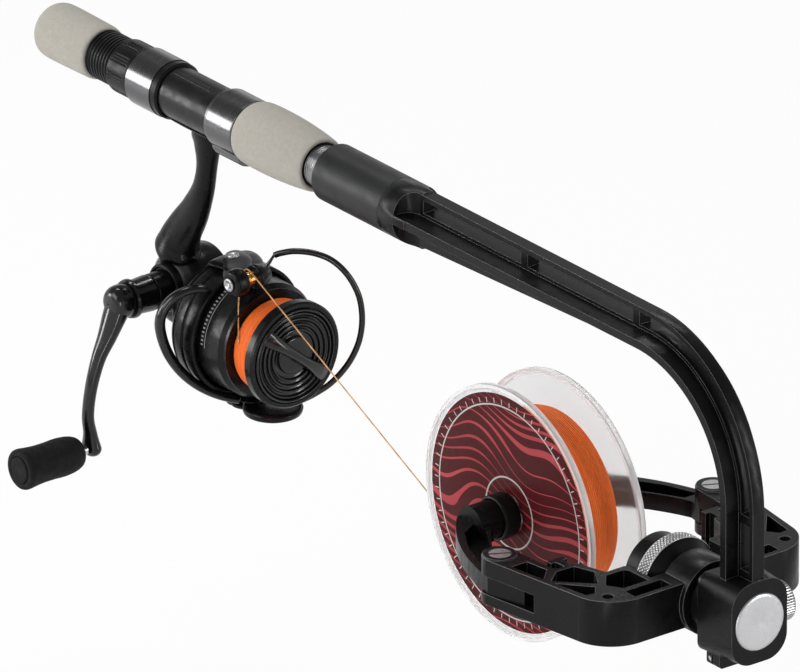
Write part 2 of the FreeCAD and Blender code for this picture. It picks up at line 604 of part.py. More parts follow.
def make_reel_body():
    """Foot, curved stem and gear case in one casting, cored for the gears and shafts."""
    reel_z, crank = -size("reel_drop"), Vector(size("crank_x"), 0, -size("crank_drop"))
    slab = box(Vector(61.5, -9, -13), Vector(116, 9, -size("foot_top") - 0.05))
    foot = slab.common(rod(Vector(60, 0, 0), Vector(118, 0, 0), size("seat_radius") - 0.15))
    route = [((91.5, -10.5), 9.5, 6.5), ((92.5, -18), 8, 5), ((92.5, -29), 5, 4.3),
             ((90.5, -41), 4.6, 4.2), ((84, -55), 5.6, 4.5), ((75, -68), 7.5, 5.2),
             ((70, -80), 10.5, 7), ((70, -88), 13, 8.5)]
    sections = []
    for i, (spot, half_long, half_wide) in enumerate(route):
        ahead, behind = route[min(i + 1, len(route) - 1)][0], route[max(i - 1, 0)][0]
        lean = Vector(ahead[0] - behind[0], 0, ahead[1] - behind[1]).normalize()
        sections.append(oval(Vector(spot[0], 0, spot[1]), Vector(-lean.z, 0, lean.x),
                             Vector(0, 1, 0), half_long, half_wide))
    stem = Part.makeLoft(sections, True)
    case = Part.makeCylinder(21, 26, Vector(crank.x - 1, -13, crank.z - 4), Vector(0, 1, 0))
    case = case.makeFillet(5, case.Edges[:1] + case.Edges[2:])
    neck = Part.makeLoft([oval(Vector(x, 0, reel_z), Vector(0, 1, 0), Vector(0, 0, 1), w, h)
                          for x, w, h in ((70, 12.5, 17), (82, 13, 17.5), (91, 16.5, 17))], True)
    handle_boss = rod(Vector(crank.x, -18, crank.z), Vector(crank.x, 0, crank.z), 15.5)
    body = foot.fuse([stem, case, neck, handle_boss])
    level = Vector(crank.x, 0, crank.z)
    hollows = [Part.makeCylinder(16.5, 7, Vector(crank.x, 8, crank.z - 3), Vector(0, 1, 0)),
               Part.makeCylinder(13.8, 4, level + Vector(0, 4.4, 0), Vector(0, 1, 0)),
               box(Vector(59.8, -6.5, -104.5), Vector(84, 4.6, -88)),
               rod(level + Vector(0, -20, 0), level + Vector(0, -12.4, 0), 5.05),
               rod(level + Vector(0, -13, 0), level + Vector(0, 9, 0), 4),
               rod(Vector(80, 0, reel_z), Vector(88, 0, reel_z), 4.8),
               rod(Vector(87.2, 0, reel_z), Vector(99, 0, reel_z), 7.05),
               box(Vector(91, -30, reel_z - 30), Vector(100, 30, reel_z + 40))]
    body = body.cut(hollows)
    feature("reel_body", body.removeSplitter())
    cover = Part.makeCylinder(16.4, 3.6, Vector(crank.x, 10.1, crank.z - 3), Vector(0, 1, 0))
    dome = Part.makeCone(15.5, 9, 3.2, Vector(crank.x, 13.7, crank.z - 3), Vector(0, 1, 0))
    cover = cover.fuse(dome).cut(rod(Vector(crank.x, 9, crank.z), Vector(crank.x, 12.6, crank.z),
                                     3.55))
    screws = []
    for angle in (40, 160, 280):
        spot = Vector(crank.x + 12.8 * math.cos(math.radians(angle)), 0,
                      crank.z - 3 + 12.8 * math.sin(math.radians(angle)))
        screws.append(Part.makeCylinder(1.6, 1.2, spot + Vector(0, 14.8, 0), Vector(0, 1, 0)))
        cover = cover.cut(Part.makeCylinder(1.65, 4, spot + Vector(0, 14.75, 0), Vector(0, 1, 0)))
    feature("side_cover", cover.removeSplitter())
    feature("cover_screws", Part.makeCompound(screws))
    feature("crank_bearing", tube(Vector(crank.x, -17.5, crank.z), Vector(0, 1, 0), 5, 5, 3.55))
    feature("pinion_bearing", tube(Vector(87.3, 0, reel_z), Vector(1, 0, 0), 3.6, 7, 4.25))


def make_crank():
    crank = Vector(size("crank_x"), 0, -size("crank_drop"))
    turned("crank_shaft", [("-24", "0"), ("-24", "3.5"), ("12.3", "3.5"), ("12.3", "0")], CRANK, "Y")
    turned("drive_gear", [("4.7", "3.55"), ("4.7", "12.6"), ("5.3", "13.2"), ("8.2", "13.2"),
                          ("8.2", "3.55")], CRANK, "Y")
    turned("crank_sleeve", [
        ("-31", "0"), ("-31", "8.6"), ("-29.8", "9"), ("-28.8", "9"), ("-28.4", "7.8"),
        ("-19.5", "8.4"), ("-18.4", "8"), ("-18.4", "3.55"), ("-24.2", "3.55"), ("-24.2", "0")],
        CRANK, "Y")
    boss = Part.makeCylinder(6.8, 13, crank + Vector(0, -44.2, 0), Vector(0, 1, 0))
    boss = boss.makeFillet(2.5, [edge for edge in boss.Edges if edge.Length > 30])
    route = [((0, -37.6, 0), 6.6, 5.2), ((-3.5, -40.5, -9), 5.4, 3.4), ((-9.5, -44.5, -21), 4.2, 2.6),
             ((-12.7, -48, -36), 3.7, 2.4), ((-11.2, -49.8, -52), 3.7, 2.5), ((-5, -50.6, -63), 4.6, 3.4)]
    sections = []
    for i, (spot, half_wide, half_thick) in enumerate(route):
        ahead = Vector(*route[min(i + 1, len(route) - 1)][0])
        behind = Vector(*route[max(i - 1, 0)][0])
        lean = (ahead - behind).normalize()
        across = lean.cross(Vector(0, 1, 0)).normalize()
        sections.append(oval(crank + Vector(*spot), across, across.cross(lean), half_wide,
                             half_thick))
    arm = Part.makeLoft(sections, True)
    elbow = crank + Vector(-1, -51, -67)
    ball = Part.makeSphere(6.2, elbow)
    arm = arm.fuse([boss, ball]).cut(rod(elbow, elbow - Vector(0, 9, 0), 2.55))
    feature("crank_arm", arm.removeSplitter())
    knob_at = ("crank_x - 1", "0", "-crank_drop - 67")
    turned("knob_axle", [("-88", "0"), ("-88", "2.5"), ("-51.1", "2.5"), ("-51.1", "0")],
           knob_at, "Y")
    turned("crank_knob", knob_profile(), knob_at, "Y")
    turned("knob_cap", [("-91.6", "0"), ("-91.4", "3.6"), ("-90.4", "5.6"), ("-88.1", "6"),
                        ("-88.1", "0")], knob_at, "Y")


def knob_profile():
    """Barrel-shaped rubber grip, widest towards its outer end."""
    return [("-57.5", "2.55"), ("-57.5", "4.8"), ("-59", "6.3"), ("-63", "7.6"), ("-69", "8.8"),
            ("-76", "9.5"), ("-82", "9.3"), ("-86", "8"), ("-87.9", "6.2"), ("-87.9", "2.55")]


# ---------------------------------------------------------------- rotor and bail

def make_rotor():
    """The cup behind the spool, two arms, and the two hoops that join the arms' front ends."""
    reel_z = -size("reel_drop")
    profile = [(93.5, 4.3), (93.5, 15), (96, 20), (102, 27.5), (106, 30.3), (121, 30.3),
               (121, 28.4), (107.5, 28.4), (103, 24.5), (98.5, 18), (97.2, 13), (97.2, 4.3)]
    corners = [Vector(x, 0, r) for x, r in profile]
    cup = Part.Face(Part.makePolygon(corners + corners[:1])).revolve(Vector(), Vector(1, 0, 0), 360)
    arms = []
    for side in (1, -1):
        plan = [Vector(104, -12, 0), Vector(118, -11, 0), Vector(126, -7.5, 0), Vector(127, 0, 0),
                Vector(126, 7.5, 0), Vector(118, 11, 0), Vector(104, 12, 0)]
        column = Part.Face(Part.makePolygon(plan + plan[:1])).extrude(Vector(0, 0, side * 40))
        shell = tube(Vector(100, 0, 0), Vector(1, 0, 0), 30, 35, 30)
        arms.append(shell.common(column))
    rotor = cup.fuse(arms + [hoop(1), hoop(-1)])
    for side in (1, -1):
        pin = rod(Vector(size("bail_x"), 0, side * 29), Vector(size("bail_x"), 0, side * 36), 2.05)
        rotor = rotor.cut(pin)
    rotor.translate(Vector(0, 0, reel_z))
    feature("rotor", rotor.removeSplitter())
    turned("pinion_gear", [("78", "2.58"), ("78", "4.2"), ("98.2", "4.2"), ("98.2", "2.58")], REEL)
    turned("rotor_nut", [("98.3", "2.58"), ("98.3", "7"), ("102", "7"), ("102", "2.58")], REEL)


def bent_rod(start, centre, axis, turn, radius):
    """A round bar bent through an angle about a centre."""
    disc = Part.Face(Part.Wire([Part.Circle(start, axis.cross(start - centre), radius).toShape()]))
    return disc.revolve(centre, axis, turn)


def hoop(side):
    """A guard from the cup's rim, round the side in a plane that leans back, to the lower arm.

    Its spine is a short straight, a tight arc and a wide arc, tangent to one another.
    """
    lean = Vector(-0.447, side * 0.894, 0)
    base = Vector(129, 0, 0)
    bar, tight, wide = 2.0, 15.7, 45
    tight_start, tight_end, wide_end = 96, -8, -74

    def spot(across, up):
        return base + lean * across + Vector(0, 0, up)

    def on_arc(centre, radius, angle):
        turn = math.radians(angle)
        return centre + lean * (radius * math.cos(turn)) + Vector(0, 0, radius * math.sin(turn))

    tight_centre = spot(27.5, 9.5)
    wide_centre = on_arc(tight_centre, tight - wide, tight_end)
    axis = lean.cross(Vector(0, 0, 1)).normalize()
    top = on_arc(tight_centre, tight, tight_start)
    heading = (top - tight_centre).cross(axis).normalize()
    straight = rod(top, top - heading * 8, bar)
    upper = bent_rod(top, tight_centre, axis, tight_end - tight_start, bar)
    lower = bent_rod(on_arc(wide_centre, wide, tight_end), wide_centre, axis,
                     wide_end - tight_end, bar)
    return straight.fuse([upper, lower])


def make_bail():
    """Bail arm with its roller, the wire hoop, and the lever at the lower pivot."""
    reel_z, pivot_x = -size("reel_drop"), size("bail_x")
    roller = Vector(136, 0, 33)
    plan = [Vector(pivot_x - 6, -6, 0), Vector(pivot_x - 7, 2, 0), Vector(pivot_x - 3, 7, 0),
            Vector(pivot_x + 4, 6.5, 0), Vector(pivot_x + 6.5, -5, 0), Vector(roller.x - 4.6, -14, 0),
            Vector(roller.x + 4.6, -14, 0), Vector(roller.x + 4.6, -21, 0),
            Vector(roller.x - 4.6, -21, 0), Vector(pivot_x + 2, -12, 0)]
    plate = Part.Face(Part.makePolygon(plan + plan[:1])).extrude(Vector(0, 0, 3.4))
    plate.translate(Vector(0, 0, 35.3))
    boss = rod(Vector(roller.x, -21, roller.z), Vector(roller.x, -13.6, roller.z), 5)
    pin = rod(Vector(roller.x, -20, roller.z), Vector(roller.x, -4, roller.z), 1.5)
    tip = Part.makeCone(5, 2.6, 5.5, Vector(roller.x, -4.7, roller.z), Vector(0, 1, 0))
    pivot = rod(Vector(pivot_x, 0, 30.5), Vector(pivot_x, 0, 36), 2)
    wire_end, wire_top = bail_wire_ends(pivot_x, roller)
    arm = plate.fuse([boss, pin, tip, pivot]).cut(rod(wire_end, wire_top, BAIL_BAR + GAP))
    arm.translate(Vector(0, 0, reel_z))
    feature("bail_arm", arm.removeSplitter())
    lower_plan = [Vector(pivot_x - 7, -6.5, 0), Vector(pivot_x + 4, -7, 0), Vector(pivot_x + 14, 2, 0),
                  Vector(pivot_x + 18, 10, 0), Vector(pivot_x + 13, 14, 0), Vector(pivot_x + 4, 8, 0),
                  Vector(pivot_x - 5, 7, 0), Vector(pivot_x - 8, 1, 0)]
    lever = Part.Face(Part.makePolygon(lower_plan + lower_plan[:1])).extrude(Vector(0, 0, 4))
    lever.translate(Vector(0, 0, -39.4))
    out = bail_heading()
    socket = rod(Vector(pivot_x, 0, -33.5) + out * 12.5, Vector(pivot_x, 0, -33.5) + out * 18.5, 2.6)
    lever = lever.fuse([rod(Vector(pivot_x, 0, -36), Vector(pivot_x, 0, -30.5), 2), socket])
    lever = lever.cut(rod(Vector(pivot_x, 0, -33.5) + out * 14.9,
                          Vector(pivot_x, 0, -33.4) + out * 20, BAIL_BAR + 0.15))
    lever.translate(Vector(0, 0, reel_z))
    feature("bail_lever", lever.removeSplitter())
    make_bail_wire(reel_z, pivot_x, roller)
    feature("roller_screw", rod(Vector(roller.x, -22.3, roller.z + reel_z),
                                Vector(roller.x, -21.05, roller.z + reel_z), 3.1))
    turned("line_roller", [("-13.4", "1.55"), ("-13.4", "4"), ("-12.7", "4"), ("-12", "3.1"),
                           ("-7", "3.1"), ("-6", "4.6"), ("-4.9", "4.6"), ("-4.9", "1.55")],
           ("136", "0", "-reel_drop + 33"), "Y")


def bail_heading():
    """The way the bail's upright plane faces, as a level direction from its pivots."""
    heading = math.radians(40)
    return Vector(math.cos(heading), math.sin(heading), 0)


def bail_wire_ends(pivot_x, roller):
    """The wire's end in the arm's tip, and the point where its short lead meets the arc."""
    middle = Vector(pivot_x, 0, 0) + bail_heading() * 17 + Vector(0, 0, 3.5)
    turn = math.radians(96)
    top = middle + bail_heading() * (size("bail_radius") * math.cos(turn))
    return Vector(roller.x, -0.6, roller.z), top + Vector(0, 0, size("bail_radius") * math.sin(turn))


def make_bail_wire(reel_z, pivot_x, roller):
    """A round wire: an arc in an upright plane through the pivots, with a short lead to the tip."""
    out, up = bail_heading(), Vector(0, 0, 1)
    wire_end, wire_top = bail_wire_ends(pivot_x, roller)
    middle = Vector(pivot_x, 0, 3.5) + out * 17
    axis = out.cross(up)
    arc = bent_rod(wire_top, middle, axis, -188, BAIL_BAR)
    wire = arc.fuse([rod(wire_end, wire_top, BAIL_BAR), Part.makeSphere(BAIL_BAR, wire_top)])
    wire.translate(Vector(0, 0, reel_z))
    feature("bail_wire", wire)


# ---------------------------------------------------------------- reel spool

def make_reel_spool():
    turned("reel_spool", [
        ("118", "27.2"), ("134.5", "26.9"), ("136.5", "25.2"), ("138", "25.2"), ("138", "17"),
        ("151.5", "17"), ("151.5", "25"), ("155.2", "25"), ("156", "24.2"), ("156", "22.6"),
        ("154", "22.3"), ("154", "14"), ("147", "14"), ("147", "2.55"), ("135.5", "2.55"),
        ("135.5", "14"), ("121", "26"), ("118", "26")], REEL)
    turned("reel_line", [
        ("138.05", "17.05"), ("138.05", "20.8"), ("140", "21.6"), ("149.5", "21.6"),
        ("151.45", "20.8"), ("151.45", "17.05")], REEL)
    reel_z = -size("reel_drop")
    feature("drag_washers", Part.makeCompound([
        tube(Vector(start, 0, reel_z), Vector(1, 0, 0), 1.3, 13.6, 2.6)
        for start in (147.1, 148.6, 150.1)]))
    turned("main_shaft", [("70.2", "0"), ("70.2", "2.5"), ("153", "2.5"), ("153", "0")], REEL)
    slider = box(Vector(70.5, -5, reel_z - 5), Vector(75.5, 4, reel_z + 3.2))
    slider = slider.cut(rod(Vector(60, 0, reel_z), Vector(80, 0, reel_z), 2.55))
    feature("oscillation_slider", slider)
    make_drag_knob(reel_z)


def make_drag_knob(reel_z):
    """A dished disc of concentric steps with a finger bar right across it."""
    steps = [(152.2, 2.55), (152.2, 13.6), (154.3, 13.6), (154.3, 22), (156.2, 22), (156.2, 20.4),
             (155.4, 20), (155.4, 18.6), (156, 18.2), (156, 16.8), (155.2, 16.4), (155.2, 14.8),
             (155.8, 14.4), (155.8, 13), (154.8, 12.4), (154.8, 7), (156.4, 6.4), (156.4, 0),
             (153.3, 0), (153.3, 2.55)]
    corners = [Vector(x, 0, r) for x, r in steps]
    disc = Part.Face(Part.makePolygon(corners + corners[:1])).revolve(Vector(), Vector(1, 0, 0), 360)
    half_bar = [Vector(154.6, 0, -22), Vector(157.5, 0, -22), Vector(160.5, 0, -13),
                Vector(161.2, 0, 0), Vector(160.5, 0, 13), Vector(157.5, 0, 22), Vector(154.6, 0, 22)]
    bar = Part.Face(Part.makePolygon(half_bar + half_bar[:1])).extrude(Vector(0, 5.6, 0))
    bar.translate(Vector(0, -2.8, 0))
    knob = disc.fuse(bar)
    knob.rotate(Vector(), Vector(1, 0, 0), 51)
    knob.translate(Vector(0, 0, reel_z))
    feature("drag_knob", knob.removeSplitter())


# ---------------------------------------------------------------- running line

def make_running_line():
    """Taut line from the filler winding to the roller, round it, and down to the reel's winding."""
    route = [Vector(308.4, -7.6, -148.5), Vector(126.7, -7.6, -56.6), Vector(146, -19.9, -89.4)]
    bend, radius = 4.1, 0.3
    before = (route[0] - route[1]).normalize()
    after = (route[2] - route[1]).normalize()
    half = before.getAngle(after) / 2
    leave = bend / math.tan(half)
    start, end = route[1] + before * leave, route[1] + after * leave
    inward = (before + after).normalize()
    middle = route[1] + inward * (bend / math.sin(half) - bend)
    path = Part.Wire([Part.LineSegment(route[0], start).toShape(),
                      Part.Arc(start, middle, end).toShape(),
                      Part.LineSegment(end, route[2]).toShape()])
    section = Part.Wire([Part.Circle(route[0], before, radius).toShape()])
    line = path.makePipeShell([section], True, True)
    print("running line: length %.1f, bend %.1f, volume over section times length %.4f"
          % (path.Length, bend, line.Volume / (math.pi * radius ** 2 * path.Length)))
    feature("running_line", line)


# ---------------------------------------------------------------- build and export

make_handle()
make_arm()
make_hub_pieces()
make_yoke()
make_lock_knob()
make_lever("front", -1)
make_lever("rear", 1)
make_filler_spool()
make_reel_body()
make_crank()
make_rotor()
make_bail()
make_reel_spool()
make_running_line()
doc.recompute()

for item in doc.Objects:
    if "Invalid" in item.State or "Error" in item.State:
        raise ValueError("%s: %s" % (item.Label, item.State))
pieces = [item for item in doc.Objects
          if item.TypeId in ("PartDesign::Body", "Part::Feature") and not item.getParentGroup()]
os.makedirs("parts", exist_ok=True)
for piece in pieces:
    if piece.Shape.isNull() or not piece.Shape.isValid() or piece.Shape.Volume <= 0:
        raise ValueError("%s has no sound shape" % piece.Label)
for piece in pieces:
    piece.Shape.exportStep("parts/%s.step" % piece.Label)
print("%d pieces" % len(pieces))
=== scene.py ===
import math

import bpy
import numpy as np
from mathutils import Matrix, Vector


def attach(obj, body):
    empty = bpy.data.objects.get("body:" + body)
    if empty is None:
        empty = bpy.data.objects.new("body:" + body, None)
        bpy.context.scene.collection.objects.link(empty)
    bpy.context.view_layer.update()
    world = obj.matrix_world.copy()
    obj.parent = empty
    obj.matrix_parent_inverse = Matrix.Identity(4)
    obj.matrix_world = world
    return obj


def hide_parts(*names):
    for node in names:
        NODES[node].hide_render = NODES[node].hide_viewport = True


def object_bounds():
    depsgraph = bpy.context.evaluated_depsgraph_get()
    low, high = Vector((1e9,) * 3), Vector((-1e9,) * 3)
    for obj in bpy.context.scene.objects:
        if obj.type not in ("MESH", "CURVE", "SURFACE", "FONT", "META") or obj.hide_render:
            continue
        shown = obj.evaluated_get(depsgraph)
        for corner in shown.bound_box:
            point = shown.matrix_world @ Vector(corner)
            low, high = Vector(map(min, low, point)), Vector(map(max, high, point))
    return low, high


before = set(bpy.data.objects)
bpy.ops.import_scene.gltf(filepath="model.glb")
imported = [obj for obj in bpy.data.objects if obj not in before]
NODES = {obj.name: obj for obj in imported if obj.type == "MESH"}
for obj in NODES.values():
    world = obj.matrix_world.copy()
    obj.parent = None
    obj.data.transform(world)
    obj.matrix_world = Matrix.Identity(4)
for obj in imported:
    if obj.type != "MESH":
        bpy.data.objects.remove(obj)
CAD_BOX = [list(corner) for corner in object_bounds()]

bl_info = {
    "name": "Fishing line winder",
    "version": (1, 0, 0),
    "blender": (4, 5, 0),
    "location": "View3D > Sidebar > Line winder",
    "description": "Finishes, windings, knurls and line of a line winder with its reel and spool",
    "category": "Object",
}

MM = 0.001                          # shapes are written in millimetres, the scene is in metres
HUB_Z, REEL_Z = -109.5, -98.5       # heights of the hub's and the reel's axes
HANDLE = (0, 0, 0)                  # points on axes, in millimetres
HUB = (0, 0, HUB_Z)
SPOOL = (328, 0, HUB_Z)
REEL = (0, 0, REEL_Z)
CRANK = (74, 0, -91.5)
CRANK_KNOB = (73, 0, -158.5)
ROLLER = (136, 0, REEL_Z + 33)
UP, LEFT_RIGHT = (0, 0, 1), (0, 1, 0)


# ---------------------------------------------------------------- user settings

def colour_setting(name, description, default):
    return bpy.props.FloatVectorProperty(name=name, description=description, default=default,
                                         subtype="COLOR", min=0, max=1)


class LineWinderCamera(bpy.types.PropertyGroup):
    azimuth: bpy.props.FloatProperty(
        name="Azimuth", description="Camera's turn round the winder",
        default=math.radians(52), subtype="ANGLE")
    elevation: bpy.props.FloatProperty(
        name="Elevation", description="Camera's height above the horizon",
        default=math.radians(24), subtype="ANGLE")
    distance: bpy.props.FloatProperty(
        name="Distance", description="Camera's distance from the point it looks at",
        default=12.24, min=0.5, unit="LENGTH")
    lens: bpy.props.FloatProperty(
        name="Lens", description="Focal length in millimetres", default=1250, min=20)
    target: bpy.props.FloatVectorProperty(
        name="Target", description="Point in the middle of the view",
        default=(0.2254, 0.0046, -0.0659), subtype="XYZ", unit="LENGTH")


class LineWinderLine(bpy.types.PropertyGroup):
    diameter: bpy.props.FloatProperty(
        name="Line diameter", description="Diameter of the running line",
        default=0.0006, min=0.0003, unit="LENGTH", precision=4)
    strand: bpy.props.FloatProperty(
        name="Strand pitch", description="Distance between turns on the spools",
        default=0.001, min=0.0003, unit="LENGTH", precision=5)
    wound: colour_setting("Wound line", "Colour of the line on both spools", (1.0, 0.19, 0.03))
    running: colour_setting("Running line", "Colour of the line between the spools",
                            (0.69, 0.36, 0.115))


class LineWinderFinish(bpy.types.PropertyGroup):
    plastic: colour_setting("Moulded plastic", "Colour of the arm, yoke and levers",
                            (0.0045, 0.0045, 0.0048))
    foam: colour_setting("Foam", "Colour of the grips", (0.41, 0.39, 0.345))
    label: colour_setting("Label", "Ground colour of the filler spool's label",
                          (0.068, 0.009, 0.0105))
    label_lines: colour_setting("Label lines", "Colour of the label's wavy lines",
                                (0.44, 0.062, 0.074))


# ---------------------------------------------------------------- node trees

class Graph:
    """A node tree under construction, with short calls for common nodes."""

    def __init__(self, tree):
        self.nodes, self.links = tree.nodes, tree.links

    def set(self, socket, value):
        """Links an output to the socket, or gives it a number or colour."""
        if isinstance(value, bpy.types.NodeSocket):
            self.links.new(value, socket)
        else:
            socket.default_value = value

    def add(self, kind, settings=(), **inputs):
        """A new node; an input is named, or i and its number."""
        node = self.nodes.new("ShaderNode" + kind)
        for key, value in dict(settings).items():
            setattr(node, key, value)
        for key, value in inputs.items():
            numbered = key[0] == "i" and key[1:].isdigit()
            self.set(node.inputs[int(key[1:]) if numbered else key.replace("_", " ")], value)
        return node

    def math(self, how, a, b=0.0, c=0.0):
        return self.add("Math", {"operation": how}, i0=a, i1=b, i2=c).outputs[0]

    def plus(self, a, b):
        return self.math("ADD", a, b)

    def minus(self, a, b):
        return self.math("SUBTRACT", a, b)

    def times(self, a, b):
        return self.math("MULTIPLY", a, b)

    def fraction(self, a):
        return self.math("FRACT", a)

    def near(self, a, middle, reach):
        """1 where a is within reach of middle, and otherwise 0."""
        return self.math("COMPARE", a, middle, reach)

    def spread(self, value, low, high, to_low=0.0, to_high=1.0):
        """Value from low..high mapped to another range, smoothly and clamped."""
        return self.add("MapRange", {"interpolation_type": "SMOOTHSTEP"}, Value=value,
                        From_Min=low, From_Max=high, To_Min=to_low, To_Max=to_high).outputs[0]


def shade(colour, factor):
    return tuple(min(1.0, part * factor) for part in colour)


class Finish(Graph):
    """A surface material under construction; sizes are in metres."""

    def __init__(self, name, colour, roughness, metallic=0.0, **sockets):
        self.material = bpy.data.materials.new(name)
        self.material.use_nodes = True
        super().__init__(self.material.node_tree)
        self.shader = self.nodes["Principled BSDF"]
        self.shader.inputs["Base Color"].default_value = tuple(colour) + (1,)
        self.shader.inputs["Roughness"].default_value = roughness
        self.shader.inputs["Metallic"].default_value = metallic
        for socket, value in sockets.items():
            self.shader.inputs[socket.replace("_", " ")].default_value = value
        self.place = self.nodes.new("ShaderNodeTexCoord").outputs["Object"]
        self.normal = None

    def spots(self):
        """X, Y and Z of the place."""
        return self.add("SeparateXYZ", Vector=self.place).outputs

    def noise(self, size, detail=2.0, place=None, roughness=0.5):
        """Noise whose grains are about as large as size."""
        return self.add("TexNoise", Vector=place or self.place, Scale=1 / size, Detail=detail,
                        Roughness=roughness).outputs["Fac"]

    def cells(self, size):
        return self.add("TexVoronoi", Vector=self.place, Scale=1 / size).outputs["Distance"]

    def stretched(self, scale):
        """The place with each axis scaled, to draw grain out in a direction."""
        return self.add("Mapping", Vector=self.place, Scale=scale).outputs["Vector"]

    def mix(self, share, low, high):
        """Low where share is 0 and high where it is 1, as colours."""
        node = self.add("Mix", {"data_type": "RGBA"})
        self.set(node.inputs[0], share)
        for index, value in ((6, low), (7, high)):
            linked = isinstance(value, bpy.types.NodeSocket)
            self.set(node.inputs[index], value if linked else tuple(value) + (1,))
        return node.outputs[2]

    def distance(self, axis, centre):
        """How far a point is from a line along an axis (0 X, 1 Y, 2 Z) through centre."""
        spots, parts = self.spots(), []
        for i in {0, 1, 2} - {axis}:
            off = self.minus(spots[i], centre[i] * MM)
            parts.append(self.times(off, off))
        return self.math("SQRT", self.plus(*parts))

    def colour(self, output):
        self.links.new(output, self.shader.inputs["Base Color"])

    def shades(self, share, colour, dark, light):
        """Two shades of a colour, mixed by share."""
        return self.mix(share, shade(colour, dark), shade(colour, light))

    def roughness(self, share, low, high):
        self.links.new(self.spread(share, 0.3, 0.7, low, high), self.shader.inputs["Roughness"])

    def bump(self, height, depth):
        """Adds relief of that depth over what is there."""
        node = self.add("Bump", Height=height, Distance=depth, Strength=1.0)
        if self.normal:
            self.links.new(self.normal, node.inputs["Normal"])
        self.normal = node.outputs["Normal"]
        self.links.new(self.normal, self.shader.inputs["Normal"])


# ---------------------------------------------------------------- finishes

def moulded(name, colour, roughness, grain=0.00035, **sockets):
    """Spark-eroded moulding: fine even grain, faint flow marks and uneven gloss."""
    finish = Finish(name, colour, roughness, **sockets)
    flow = finish.spread(finish.noise(0.03, 3), 0.3, 0.7)
    finish.colour(finish.shades(flow, colour, 0.82, 1.25))
    finish.roughness(finish.noise(0.006, 4), roughness - 0.05, roughness + 0.07)
    finish.bump(finish.noise(grain, 3), 0.00002)
    return finish.material


def turned_metal(name, colour, roughness, axis):
    """Metal turned on a lathe: fine grooves round its axis (0 X, 1 Y, 2 Z), uneven along it."""
    finish = Finish(name, colour, roughness, 1.0)
    scale = [0.02, 0.02, 0.02]
    scale[axis] = 1.0
    rings = finish.noise(0.00012, 3, finish.stretched(scale))
    finish.colour(finish.shades(rings, colour, 0.8, 1.15))
    finish.roughness(rings, roughness - 0.05, roughness + 0.08)
    finish.bump(rings, 0.000004)
    return finish.material


def brushed_metal(name, colour, roughness, scale):
    """Metal brushed one way: noise drawn out along the brushing."""
    finish = Finish(name, colour, roughness, 1.0)
    grain = finish.noise(0.00015, 4, finish.stretched(scale))
    finish.colour(finish.shades(grain, colour, 0.86, 1.1))
    finish.roughness(grain, roughness - 0.04, roughness + 0.08)
    finish.bump(grain, 0.000003)
    return finish.material


def knurled(name, axis, centre, low, high):
    """Knurled steel: bright crests over grooves painted near-black as shade, by distance to the
    axis.
    """
    finish = Finish(name, (0.6, 0.6, 0.61), 0.28, 1.0)
    crest_over_groove_shade = finish.spread(finish.distance(axis, centre), low, high)
    grain = finish.noise(0.0004, 3)
    bright = finish.mix(grain, (0.5, 0.5, 0.51), (0.72, 0.72, 0.73))
    # Near-black below the crests is painted shade in the grooves.
    finish.colour(finish.mix(crest_over_groove_shade, (0.03, 0.03, 0.032), bright))
    finish.roughness(grain, 0.22, 0.36)
    return finish.material


def slotted_screw():
    """Brushed screw heads whose slots, being lower than their faces, are painted dark as shade."""
    finish = Finish("slotted screw heads", (0.6, 0.6, 0.61), 0.3, 1.0)
    grain = finish.noise(0.00015, 4, finish.stretched((1, 0.05, 1)))
    face = finish.mix(grain, (0.52, 0.52, 0.53), (0.7, 0.7, 0.71))
    face_over_slot_shade = finish.spread(finish.spots()[2], -0.0991, -0.0989)
    # Near-black in the slots is painted shade.
    finish.colour(finish.mix(face_over_slot_shade, (0.02, 0.02, 0.02), face))
    finish.roughness(grain, 0.26, 0.4)
    finish.bump(grain, 0.000003)
    return finish.material


def cast_paint(name, colour, roughness, level):
    """Satin paint on a casting: faint orange peel and clouds, with uneven gloss."""
    finish = Finish(name, colour, roughness, Specular_IOR_Level=level)
    cloud = finish.spread(finish.noise(0.012, 3), 0.35, 0.7)
    finish.colour(finish.shades(cloud, colour, 0.8, 1.35))
    finish.roughness(finish.noise(0.004, 4), roughness - 0.05, roughness + 0.08)
    finish.bump(finish.noise(0.0009, 2), 0.000004)
    finish.bump(finish.noise(0.0002, 2), 0.000003)
    return finish.material


def grooved_seat(colour, roughness):
    """Moulded seat: four long thin grooves along X, set by the angle round the rod, and darkened
    with painted shade.
    """
    finish = Finish("satin black seat", colour, roughness, Specular_IOR_Level=0.25)
    x, y, z = finish.spots()
    angle = finish.math("ARCTAN2", y, z)
    groove = None
    for middle in (0.42, 0.24, -0.24, -0.42):
        away = finish.math("ABSOLUTE", finish.minus(angle, middle))
        one = finish.spread(away, 0.018, 0.05, 1.0, 0.0)
        groove = one if groove is None else finish.math("MAXIMUM", groove, one)
    along = finish.times(finish.math("GREATER_THAN", x, 0.0735),
                         finish.math("LESS_THAN", x, 0.1005))
    groove = finish.times(groove, along)
    # Near-black in the grooves is painted shade.
    finish.colour(finish.mix(groove, colour, shade(colour, 0.2)))
    finish.roughness(finish.noise(0.005, 4), roughness - 0.05, roughness + 0.07)
    finish.bump(finish.minus(1.0, groove), 0.0003)
    finish.bump(finish.noise(0.0003, 3), 0.00002)
    return finish.material


